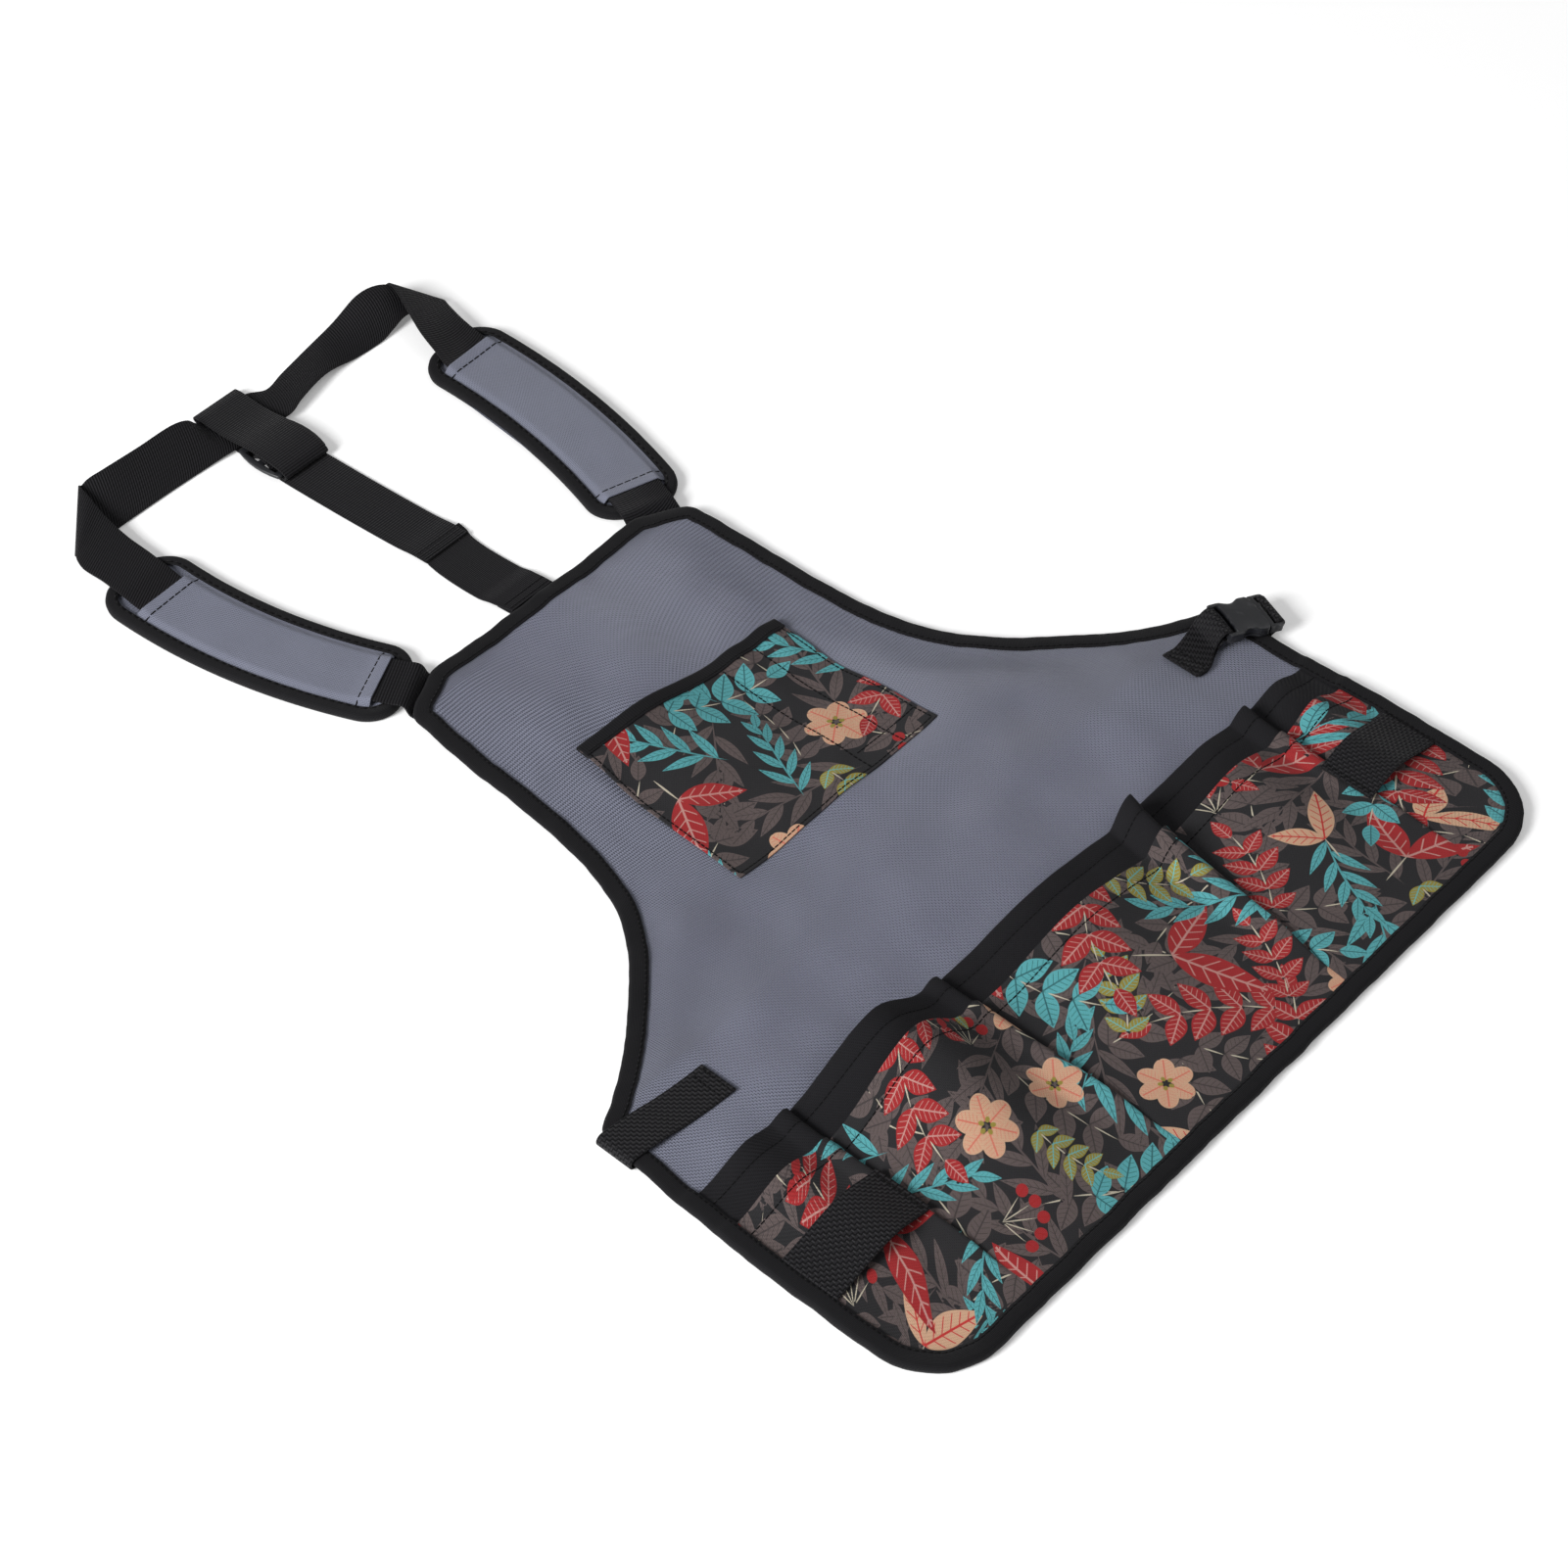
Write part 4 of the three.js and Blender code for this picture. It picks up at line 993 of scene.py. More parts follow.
@dataclass
class Cut:
    """The outline of the apron, and the height of its cloth over what lies under it."""

    layout: Layout
    gap: float = 0.3
    slot_gap: float = 0.6
    cloth: float = 1.2
    pocket_cloth: float = 1.0
    tape: float = 1.0
    tape_width: float = 12.0
    webbing: float = 1.5
    strap_width: float = 38.0
    belt_width: float = 25.0
    cloth_inset: float = 2.2
    skirt_half: float = 293.0
    hem_corner: float = 50.0
    belt_y: float = 242.0
    strap_lift: float = 2.6
    strap_ease: float = 62.0
    outline: Curve = Curve((
        (50, 293), (120, 293), (190, 290), (245, 286), (262, 281), (272, 262), (290, 234), (312, 207),
        (340, 177), (370, 156), (410, 142), (460, 135.5), (520, 132), (560, 128.5), (575, 124), (592, 90),
    ))
    back_line: Curve = Curve((
        (580, 2), (640, -2), (672, -4), (790, -12), (880, -12),
    ))
    swells: tuple[tuple[float, ...], ...] = (
        (-190, 310, 120, 95, 3.5), (150, 320, 110, 105, 4), (70, 505, 100, 95, 3), (-75, 480, 95, 110, 2.5),
    )
    bib_corner: tuple[float, float, float, float] = (107.0, 584.0, 85.0, 4.5)
    held_flat: tuple[Point, ...] = ((246, 246, 62), (-236, 240, 52))
    back_rise: Step = Step(180.0, 70.0)
    ripples: tuple[Ripple, ...] = (
        Ripple(5.0, 88.0, 3.0, 0.4, 0.7), Ripple(3.2, 43.0, 6.0, 0.3), Ripple(0.45, 19.0, 8.0, 0.5),
    )
    loose_edge: Step = Step(14.0, 40.0)
    loose_foot: Step = Step(150.0, 60.0)
    loose_head: Step = Step(570.0, -40.0)
    pucker: Ripple = Ripple(0.9, 15.0, 14.0, 0.2)
    pucker_inset: float = 13.0
    pucker_reach: float = 26.0
    pucker_foot: Step = Step(215.0, 30.0)
    layer_tops: Pair = (197.0, 167.0)
    layer_run: float = 5.0

    @property
    def tape_wall(self) -> float:
        """Thickness of the tape with some slack where it is folded."""
        return self.tape * 0.9

    @property
    def panel_top(self) -> float:
        """Height of the panel's upper face over the ground."""
        return self.tape + self.slot_gap + self.cloth

    def half_width(self, y: float, inset: float) -> float:
        """Return the apron's half width, drawn in by a distance square to its edge."""
        if y < self.hem_corner:
            radius = self.hem_corner - inset
            drop = max(radius ** 2 - (self.hem_corner - y) ** 2, 0.0)
            return self.skirt_half - self.hem_corner + math.sqrt(drop)
        slope = self.outline.at(y + 0.5) - self.outline.at(y - 0.5)
        return self.outline.at(y) - inset * math.hypot(1, slope)

    def ground(self, x: float, y: float) -> float:
        """Return the height of the underside of the cloth, with its small ripples."""
        belt = hump((y - self.belt_y) / self.strap_ease)
        back = hump((x - self.back_line.at(y)) / self.strap_ease) * self.back_rise.at(y)
        corner_x, corner_y, reach, lift = self.bib_corner
        corner = hump(math.hypot(abs(x) - corner_x, y - corner_y) / reach)
        lifted = math.hypot(self.strap_lift * belt, self.strap_lift * back, lift * corner)
        for sx, sy, across, along, height in self.swells:
            lifted += height * hump(math.hypot((x - sx) / across, (y - sy) / along))
        rim = self.half_width(max(y, self.hem_corner), 0.0) - abs(x)
        loose = self.loose_edge.at(rim) * self.loose_foot.at(y) * self.loose_head.at(y)
        for hx, hy, reach in self.held_flat:
            loose *= 1 - hump(math.hypot(x - hx, y - hy) / reach)
        small = sum(wave.at(x, y) for wave in self.ripples)
        inset = min(rim, self.layout.bib_top - y) - self.pucker_inset
        pucker = self.pucker.at(x, y) * hump(inset / self.pucker_reach) * self.pucker_foot.at(y)
        return lifted + max(small, 0.0) * loose + max(pucker, 0.0)

    def on_panel(self, x: float, y: float, lift: float = 0.0) -> Vector:
        """Return a point on the panel's upper face."""
        return Vector((x, y, self.ground(x, y) + self.panel_top + lift))

    def slot_top(self, y: float) -> float:
        """Return the top of the cloth inside the binding: the panel, then with one or two pocket layers."""
        layers = sum(smooth((top - y) / self.layer_run) for top in self.layer_tops)
        return self.panel_top + self.slot_gap + layers * (self.pocket_cloth + self.gap)

    def edge(self) -> list[Vector]:
        """Return the closed edge from the middle of the hem, counterclockwise, as points 3 mm apart or so."""
        flat = self.skirt_half - self.hem_corner
        top = self.layout.bib_top
        right = [Vector((flat * n / 20, 0, 0)) for n in range(20)]
        for n in range(13):
            turn = math.pi / 2 * (n / 12 - 1)
            x = flat + self.hem_corner * math.cos(turn)
            right.append(Vector((x, self.hem_corner * (1 + math.sin(turn)), 0)))
        right += [Vector((self.half_width(y, 0.0), y, 0)) for y in range(52, 589, 3)]
        shoulder = self.half_width(top - 1.5, 0.0)
        right += [Vector((shoulder - 2 * n, top - 0.3 * (2 - n), 0)) for n in range(2)]
        end = right[-1].x - 4
        right += [Vector((end * (1 - n / 16), top, 0)) for n in range(17)]
        left = [Vector((-p.x, p.y, 0)) for p in reversed(right[:-1])]
        return right + left


# Panel and binding

@dataclass(frozen=True)
class FoldedTape:
    """Tape folded over an edge: its width on each face, where its fold begins and how far that bulges.

    Dip is how far the upper lip sinks, crown how far the upper face swells, and face the share on each face.
    """

    width: float
    fold: float
    bulge: float
    dip: float = 0.0
    crown: float = 0.0
    face: float = 0.4
    lip_rate: float = 2.5

    def section(self, share: float, top: float, low: float) -> Pair:
        """Find a point of the tape's middle, from its upper lip round to its lower one.

        Args:
            share: how far round the tape it is, 0 to 1.
            top: the height of the upper face.
            low: the height of the lower face.

        Returns:
            The inset from the edge and the height.
        """
        if share < self.face:
            t = share / self.face
            lip = self.dip * (1 - smooth(t * self.lip_rate))
            return lerp(self.width, self.fold, t), top - lip + self.crown * math.sin(math.pi * t)
        if share > 1 - self.face:
            return lerp(self.fold, self.width, (share - 1 + self.face) / self.face), low
        turn = math.pi * (share - self.face) / (1 - 2 * self.face)
        middle = (top + low) / 2
        return self.fold - self.bulge * math.sin(turn), middle + (top - low) / 2 * math.cos(turn)

    def share_at(self, inset: float) -> float:
        """Return how far round the tape an inset on its upper face is."""
        return self.face * (self.width - inset) / (self.width - self.fold)


def round_edge(line: Sequence[Vector], steps: int, stride: int) -> list[Section]:
    """Find even places on a closed edge.

    Args:
        line: the edge, counterclockwise.
        steps: how many places to find.
        stride: how many steps off the two places are that give its direction.

    Returns:
        The places, each with the direction out of the edge.
    """
    marks = spaced([*line, line[0]], steps + 1)
    found = []
    for n in range(steps):
        run = marks[(n + stride) % steps] - marks[n - stride]
        found.append((marks[n], Vector((run.y, -run.x, 0)).normalized()))
    return found


@dataclass
class Panel:
    """The grey cloth panel, cut to the apron's outline, with the tape that binds its edge."""

    cut: Cut
    finishes: Finishes
    columns: int = 150
    rows: int = 160
    edge_steps: int = 900
    lip: float = 0.25
    fold: float = 2.2
    crown: float = 0.25
    stitch_inset: float = 10.2
    wander: tuple[Ripple, ...] = (Ripple(0.75, 21.0, 9.0), Ripple(0.35, 8.0, 5.0))
    pucker: Ripple = Ripple(0.16, 9.0, 2.0)

    @property
    def tape(self) -> FoldedTape:
        """The tape on the edge."""
        dip = self.cut.slot_gap - self.lip
        return FoldedTape(self.cut.tape_width, self.fold, self.fold - self.cut.tape / 2, dip, self.crown)

    def cloth(self) -> None:
        """Build the panel."""
        cut = self.cut

        def place(u: float, v: float) -> Vector:
            """Return a point of the cloth's middle."""
            y = lerp(cut.cloth_inset, cut.layout.bib_top - cut.cloth_inset, v)
            x = cut.half_width(y, cut.cloth_inset) * (2 * u - 1)
            return cut.layout.place(cut.on_panel(x, y, -cut.cloth / 2))

        bm = lay_grid(self.columns, self.rows, place)
        panel = put(bm, "panel_cloth", [self.finishes.grey], ["apron_panel"], Wall(cut.cloth))
        high = cut.layout.bib_top - 2 * cut.cloth_inset
        steps = 400
        area = sum(
            2 * cut.half_width(cut.cloth_inset + high * (n + 0.5) / steps, cut.cloth_inset) * high / steps
            for n in range(steps)
        )
        area * MM * MM

    def sections(self) -> list[Section]:
        """Return even places on the edge, each with the direction out of it."""
        return round_edge(self.cut.edge(), self.edge_steps, 2)

    def tape_point(self, section: Section, share: float) -> Vector:
        """Find a point of the tape's middle.

        Args:
            section: a place on the edge, with the direction out of it.
            share: how far round the tape the point is.

        Returns:
            The point.
        """
        cut = self.cut
        edge, out = section
        inset, height = self.tape.section(share, cut.slot_top(edge.y) + cut.tape / 2, cut.tape / 2)
        at = edge + out * (sum(wave.at(edge.x, edge.y) for wave in self.wander) - inset)
        pucker = self.pucker.at(edge.x, edge.y) if share < 0.5 else 0.0
        return Vector((at.x, at.y, cut.ground(at.x, at.y) + height + pucker))

    def binding(self) -> None:
        """Build the tape folded over the edge all round."""
        sections = self.sections()

        def place(u: float, v: float) -> Vector:
            """Return a point of the tape's middle."""
            section = sections[round(v * self.edge_steps) % self.edge_steps]
            return self.cut.layout.place(self.tape_point(section, u))

        bm = lay_grid(20, self.edge_steps, place, welded=True)
        wall = Wall(self.cut.tape_wall)
        put(bm, "edge_tape", [self.finishes.tape], ["edge_binding"], wall)

    def stitches(self) -> None:
        """Sew the tape down along its inner lip."""
        bm = bmesh.new()
        share = self.tape.share_at(self.stitch_inset)
        up = Vector((0, 0, self.cut.tape_wall / 2))
        line = [self.cut.layout.place(self.tape_point(section, share) + up) for section in self.sections()]
        thread = Thread()
        thread.sew(bm, line + [line[0]])
        thread.finish(bm, "edge_stitches", self.finishes.thread)

    def build(self) -> None:
        """Build the panel, its tape and its stitching."""
        self.cloth()
        self.binding()
        self.stitches()


# Skirt pockets

class Layer(Enum):
    """The two layers of cloth that make the skirt pockets."""

    BACK = "back"
    FRONT = "front"


@dataclass(frozen=True)
class Seam:
    """A seam between compartments: where it runs at the hem and the mouth, and the folds beside it."""

    hem: float
    mouth: float
    back_pleat: float
    front_pleat: float
    tuck: float


@dataclass(frozen=True)
class Compartment:
    """How far each layer stands off at a compartment's mouth, and where it stands off most."""

    back: float
    front: float
    peak: float
    fall: float


@dataclass
class SkirtPockets:
    """Black and printed pocket layers over the lower panel, with their seams and hems."""

    cut: Cut
    finishes: Finishes
    back_mouth: float = 190.0
    front_mouth: float = 160.0
    foot: float = 12.0
    pleat_rise: float = 16.0
    pleat_drop: float = 7.0
    hem: float = 11.0
    inset: float = 13.5
    overhang: float = 0.55
    slip: float = 23.0
    spread: tuple[int, ...] = (8, 50, 92, 118, 82, 44, 8)
    seams: tuple[Seam, ...] = (
        Seam(-201, -203, 4, 4, 4.2), Seam(-65, -72, 5, 6, 5.5), Seam(91, 110, 16, 13, 6.0),
        Seam(222, 224, 8, 7, 2.6),
    )
    rooms: tuple[Compartment, ...] = (
        Compartment(7, 12, 0.5, 2), Compartment(28, 37, 0.55, 1.3), Compartment(8, 16, 0.5, 1.3),
        Compartment(8, 15, 0.55, 1.3), Compartment(7, 12, 0.5, 2),
    )
    puff_rise: float = 2.2
    puff_reach: float = 24.0
    far_puff: float = 0.3
    far_rise: float = 8.0
    far_reach: float = 34.0
    lean_reach: float = 16.0
    puff_run: float = 60.0
    hem_step: float = 0.35
    hem_groove: float = 0.4
    held_edge: float = 25.0
    slack: tuple[Ripple, ...] = (Ripple(0.8, 27.0, 5.0), Ripple(1.1, 46.0, 7.0, squash=0.5))
    slack_foot: Step = Step(20.0, 60.0)
    slack_low: float = -0.15
    loop_y: float = 107.0
    loop_reach: float = 60.0
    loop_side: Step = Step(190.0, 20.0)
    loop_hold: float = 0.85
    design_size: Pair = (780.0, 190.0)

    def mouth(self, layer: Layer) -> float:
        """Return the height of a layer's mouth over the hem."""
        return self.back_mouth if layer is Layer.BACK else self.front_mouth

    def level(self, layer: Layer) -> float:
        """Return the height of a layer's middle over the ground."""
        cut = self.cut
        back = cut.panel_top + cut.gap + cut.pocket_cloth / 2
        return back if layer is Layer.BACK else back + cut.pocket_cloth + cut.gap

    def seam_x(self, seam: Seam, y: float) -> float:
        """Return where a seam runs at a height."""
        return lerp(seam.hem, seam.mouth, y / self.back_mouth)

    def bounds(self, y: float) -> list[float]:
        """Return where the compartments begin and end at a height, inside the edge tape."""
        inner = min(self.cut.half_width(y, self.inset), self.cut.half_width(y, self.cut.cloth_inset) - 6)
        return [-inner, *(min(max(self.seam_x(seam, y), -inner), inner) for seam in self.seams), inner]

    def tuck(self, x: float, y: float) -> Pair:
        """Return how far the cloth puffs up beside the seams, and how far the puff leans over its seam."""
        height = 0.0
        lean = 0.0
        for seam in self.seams:
            away = self.seam_x(seam, y) - x
            left = seam.tuck * smooth(away / self.puff_rise) * hump(away / self.puff_reach)
            right = self.far_puff * seam.tuck * smooth(-away / self.far_rise) * hump(away / self.far_reach)
            height = max(height, left, right)
            lean = max(lean, self.overhang * left * hump(away / self.lean_reach))
        share = smooth((y - self.foot) / self.puff_run)
        return height * share, lean * share

    def stand_off(self, x: float, y: float, layer: Layer) -> float:
        """Return how far a layer stands off: its bulge, and the pleats at its seams."""
        bounds = self.bounds(y)
        if abs(x) >= bounds[-1]:
            return 0.0
        mouth = self.mouth(layer)
        rise = max((y - self.foot) / (mouth - self.foot), 0.0)
        k = sum(1 for bound in bounds[1:-1] if x >= bound)
        share = (x - bounds[k]) / max(bounds[k + 1] - bounds[k], 1e-6)
        room = self.rooms[k]
        best = (room.back if layer is Layer.BACK else room.front) * bell(share, room.peak) * rise ** room.fall
        for seam in self.seams:
            away = x - self.seam_x(seam, y) + self.pleat_drop
            pleat = seam.back_pleat if layer is Layer.BACK else seam.front_pleat
            reach = self.pleat_rise if away < 0 else self.pleat_drop
            best = max(best, pleat * hump(away / reach) * rise ** 3)
        return best

    def point(self, x: float, y: float, layer: Layer) -> Vector:
        """Find a point of a layer's middle.

        Args:
            x: its flat place across the layout.
            y: its place up it.
            layer: the layer.

        Returns:
            The point.
        """
        puff, lean = self.tuck(x, y)
        over_hem = y - self.mouth(layer) + self.hem
        fold = self.hem_step * smooth(over_hem / 1.5) - self.hem_groove * hump(over_hem / 2.2) + puff
        inner = smooth((self.cut.half_width(y, self.inset) - abs(x)) / self.held_edge)
        under_loop = hump((y - self.loop_y) / self.loop_reach) * self.loop_side.at(abs(x))
        slack = sum(wave.at(x, y) for wave in self.slack)
        slack *= inner * self.slack_foot.at(y) * (1 - self.loop_hold * under_loop)
        z = self.cut.ground(x, y) + self.level(layer) + self.stand_off(x, y, layer) + fold * inner
        return Vector((x + lean * inner, y, z + max(slack, self.slack_low)))

    def cloth(self, layer: Layer) -> BMesh:
        """Lay out a layer's cloth."""
        cut = self.cut
        rows = 96 if layer is Layer.BACK else 84
        columns = [(k, n / count) for k, count in enumerate(self.spread) for n in range(count)]
        columns.append((len(self.spread) - 1, 1.0))

        def place(u: float, v: float) -> Vector:
            """Return a point of the layer's middle."""
            y = lerp(cut.cloth_inset, self.mouth(layer), v)
            side = cut.half_width(y, cut.cloth_inset)
            bounds = [-side, *self.bounds(y), side]
            k, share = columns[round(u * (len(columns) - 1))]
            return cut.layout.place(self.point(lerp(bounds[k], bounds[k + 1], share), y, layer))

        slips = [(min(max(k, 1), 5) - 3) * self.slip * MM for k, _ in columns]
        return lay_grid(len(columns) - 1, rows, place, slips=slips)

    def sewn(self, line: Iterable[Pair], layer: Layer) -> list[Vector]:
        """Return a line of stitching on a layer's upper face, in the scene."""
        points = []
        for x, y in line:
            here = self.point(x, y, layer)
            right = self.point(x + 0.6, y, layer) - self.point(x - 0.6, y, layer)
            up = self.point(x, y + 0.6, layer) - self.point(x, y - 0.6, layer)
            out = right.cross(up).normalized()
            points.append(self.cut.layout.place(here + out * self.cut.pocket_cloth / 2))
        return points

    def stitches(self) -> None:
        """Sew the hems of both layers."""
        bm = bmesh.new()
        thread = Thread()
        for layer in Layer:
            y = self.mouth(layer) - self.hem
            reach = self.cut.half_width(y, 12.5)
            thread.sew(bm, self.sewn(((reach * n / 150, y) for n in range(-150, 151)), layer))
        thread.finish(bm, "skirt_stitches", self.finishes.thread)

    def build(self) -> None:
        """Build both layers and their stitching."""
        cut = self.cut
        back = put(
            self.cloth(Layer.BACK), "pocket_back_cloth", [self.finishes.black],
            ["pocket_back_layer"], Wall(cut.pocket_cloth),
        )
        bm = self.cloth(Layer.FRONT)
        design = PrintDesign(7, *self.design_size)
        design.fill()
        design.stamp(bm)
        front = put(
            bm, "pocket_front_cloth", [self.finishes.print, self.finishes.plain],
            ["pocket_front_layer"], Wall(cut.pocket_cloth, reverse=True),
        )
        self.stitches()


@dataclass
class HammerLoops:
    """Webbing loops that arch over the small side pockets, sewn at a seam and under the edge tape."""

    cut: Cut
    finishes: Finishes
    width: float = 40.0
    y: float = 105.0
    left_seam: float = 201.0
    right_seam: float = 214.0
    edge: float = 281.4
    arch: float = 7.8
    peak: float = 0.4
    roundness: float = 0.85
    sewn_rise: float = 4.6

    def route(self, side: int) -> list[Vector]:
        """Return the middle line of a loop from its seam to the edge."""
        cut = self.cut
        base = cut.panel_top + 2 * cut.pocket_cloth + 3 * cut.gap + cut.webbing / 2
        seam = self.left_seam if side < 0 else self.right_seam
        points = []
        for n in range(61):
            t = n / 60
            z = base + self.sewn_rise * (1 - t) + self.arch * bell(t, self.peak) ** self.roundness
            points.append(Vector((side * lerp(seam, self.edge, t), self.y, z)))
        return points

    def build(self) -> None:
        """Build both loops and the stitching at their seam ends."""
        bm = bmesh.new()
        thread = Thread()
        for side, name in ((-1, "left"), (1, "right")):
            route = spaced(self.route(side), 50)
            strap = Webbing(self.cut.layout, self.width, self.cut.webbing)
            loop = strap.level(route, [Vector((0, 1, 0))] * len(route))
            put(loop, f"loop_{name}", [self.finishes.basket], [f"hammer_loop_{name}"])
            at = self.route(side)[3]
            ends = [at + Vector((0, shift, self.cut.webbing / 2 + 0.2)) for shift in (-18, 18)]
            thread.sew(bm, self.cut.layout.line(ends))
        thread.finish(bm, "loop_stitches", self.finishes.thread)


# Chest pocket

@dataclass(frozen=True)
class ChestSlot:
    """A part of the chest pocket between two sewn lines, and how far it stands off at its mouth."""

    start: float
    end: float
    lift: float
    peak: float


@dataclass
class ChestPocket:
    """The printed chest pocket with two pen slots and a bound mouth."""

    cut: Cut
    finishes: Finishes
    half: float = 89.0
    drawn: float = 4.0
    foot: float = 329.5
    mouth: float = 465.5
    foot_tilt: float = -0.013
    mouth_tilt: float = -0.053
    tape: float = 9.0
    hem_rise: float = 1.6
    corner_rise: float = 7.0
    corner_reach: float = 60.0
    slack: Ripple = Ripple(0.45, 24.0, 11.0)
    ease: float = 0.3
    slots: tuple[ChestSlot, ...] = (
        ChestSlot(-89, 31, 10, 0.4), ChestSlot(31, 61, 2.2, 0.5), ChestSlot(61, 89, 1.8, 0.5),
    )

    def point(self, x: float, share: float, lift: float = 0.0) -> Vector:
        """Return a point of the pocket's middle, from its flat place across and its share of the height."""
        cut = self.cut
        slot = next((s for s in self.slots if x < s.end), self.slots[-1])
        across = (x - slot.start) / (slot.end - slot.start)
        px = x * (1 - self.drawn / self.half * share)
        py = lerp(self.foot + self.foot_tilt * px, self.mouth + self.mouth_tilt * px, share)
        corner = self.corner_rise * hump((px + self.half) / self.corner_reach) * share ** 3
        hem = self.hem_rise * smooth((share - 0.6) / 0.3)
        off = slot.lift * bell(across, slot.peak) * share ** 1.5 + hem + corner
        inner = smooth((self.half - abs(x)) / 14) * smooth(share / 0.12)
        slack = self.slack.at(x, py) * inner
        rest = cut.panel_top + cut.gap + cut.pocket_cloth / 2
        return Vector((px, py, cut.ground(px, py) + rest + off + slack + lift))

    def cloth(self) -> None:
        """Build the pocket's printed cloth."""
        cut = self.cut
        bm = lay_grid(110, 84, lambda u, v: cut.layout.place(self.point(lerp(-self.half, self.half, u), v)))
        design = PrintDesign(23, 2 * self.half + 20, self.mouth - self.foot + 20, cell=58.0)
        design.fill()
        design.stamp(bm)
        pocket = put(
            bm, "chest_pocket_cloth", [self.finishes.print, self.finishes.plain],
            ["chest_pocket"], Wall(cut.pocket_cloth, reverse=True),
        )
        flat = (2 * self.half * MM, (self.mouth - self.foot) * MM)

    def binding(self) -> None:
        """Build the tape folded over the pocket's mouth."""
        cut = self.cut
        reach = cut.pocket_cloth / 2 + self.ease + cut.tape / 2
        tape = FoldedTape(self.tape, 0.4, 1.2)

        def place(u: float, v: float) -> Vector:
            """Return a point of the tape's middle."""
            x = lerp(-self.half, self.half, v)
            top = self.point(x, 1.0)
            up = (top - self.point(x, 0.94)).normalized()
            run = self.point(min(x + 1, self.half), 1.0) - self.point(max(x - 1, -self.half), 1.0)
            out = run.cross(up).normalized()
            inset, height = tape.section(u, reach, -reach)
            return cut.layout.place(top - up * (inset - 0.2) + out * height)

        bm = lay_grid(18, 120, place)
        wall = Wall(cut.tape_wall)
        put(bm, "chest_pocket_tape", [self.finishes.tape], ["chest_pocket_binding"], wall)

    def stitches(self) -> None:
        """Sew the sides, the foot, the pen slots, the bar tack line and the bound mouth."""
        bm = bmesh.new()
        thread = Thread(stitch=2.9, step=3.7, width=0.95)
        face = self.cut.pocket_cloth / 2

        def run(line: Iterable[Pair], lift: float = 0.0) -> None:
            """Sew a line of places across and up the pocket."""
            thread.sew(bm, self.cut.layout.line(self.point(x, share, face + lift) for x, share in line))

        side = self.half - 2.6
        for x in (-side, side):
            run([(x, lerp(0.02, 0.97, n / 40)) for n in range(41)])
        run([(lerp(-side, side, n / 60), 0.018) for n in range(61)])
        for slot in self.slots[1:]:
            run([(slot.start, lerp(0.02, 0.99, n / 40)) for n in range(41)])
        run([(lerp(34, side, n / 20), 0.127) for n in range(21)])
        deep = self.tape / (self.mouth - self.foot)
        run([(lerp(-side, side, n / 80), 1.0 - deep * 0.78) for n in range(81)], 1.15)
        thread.finish(bm, "chest_stitches", self.finishes.thread)

    def build(self) -> None:
        """Build the pocket, its tape and its stitching."""
        self.cloth()
        self.binding()
        self.stitches()


# Webbing

@dataclass(frozen=True)
class Webbing:
    """A flat strap with rounded selvedges."""

    layout: Layout
    width: float
    thick: float
    selvedge: float = 0.55
    side_steps: int = 8

    def ring(self) -> list[Pair]:
        """Return the section, as a place across and a height, closed by its first point again."""
        half = self.width / 2
        tall = self.thick / 2
        r = self.selvedge
        side = half - r
        face = tall - r
        corners = ((side, -face, -90), (side, face, 0), (-side, face, 90), (-side, -face, 180))
        points = []
        for n, (x, z, start) in enumerate(corners):
            for k in range(4):
                turn = math.radians(start + 30 * k)
                points.append((x + r * math.cos(turn), z + r * math.sin(turn)))
            if n in (1, 3):
                sign = -1 if n == 1 else 1
                for k in range(1, self.side_steps):
                    points.append((sign * lerp(-1, 1, k / self.side_steps) * side, z - r * sign))
        return points + [points[0]]

    def sweep(self, edges: Sequence[Section]) -> BMesh:
        """Sweep the section along the two edges of the strap's width.

        Args:
            edges: the near and far edge of each cross section, in the layout.

        Returns:
            The closed strap.
        """
        ring = self.ring()
        last = len(edges) - 1
        frames = []
        for n, (near, far) in enumerate(edges):
            before = edges[max(n - 1, 0)]
            after = edges[min(n + 1, last)]
            run = (after[0] + after[1] - before[0] - before[1]).normalized()
            side = (far - near).normalized()
            up = side.cross(run).normalized()
            frames.append(((near + far) / 2, side, up, (far - near).length / self.width))

        def place(u: float, v: float) -> Vector:
            """Return a point of the strap's face."""
            middle, side, up, wide = frames[round(v * last)]
            across, height = ring[round(u * (len(ring) - 1))]
            return self.layout.place(middle + side * across * wide + up * height)

        bm = lay_grid(len(ring) - 1, last, place, welded=True)
        close_ends(bm)
        return bm

    def level(self, route: Sequence[Vector], across: Sequence[Vector]) -> BMesh:
        """Sweep the section along a middle line with a direction across it at each point."""
        half = self.width / 2
        return self.sweep([(p - a * half, p + a * half) for p, a in zip(route, across)])


# Shoulder pads

@dataclass(frozen=True)
class PadPlace:
    """Where a pad lies: its lower end, heading and turn in degrees, and the hems of its cover."""

    side: str
    x: float
    y: float
    heading: float
    turn: float
    hem_low: float
    hem_high: float


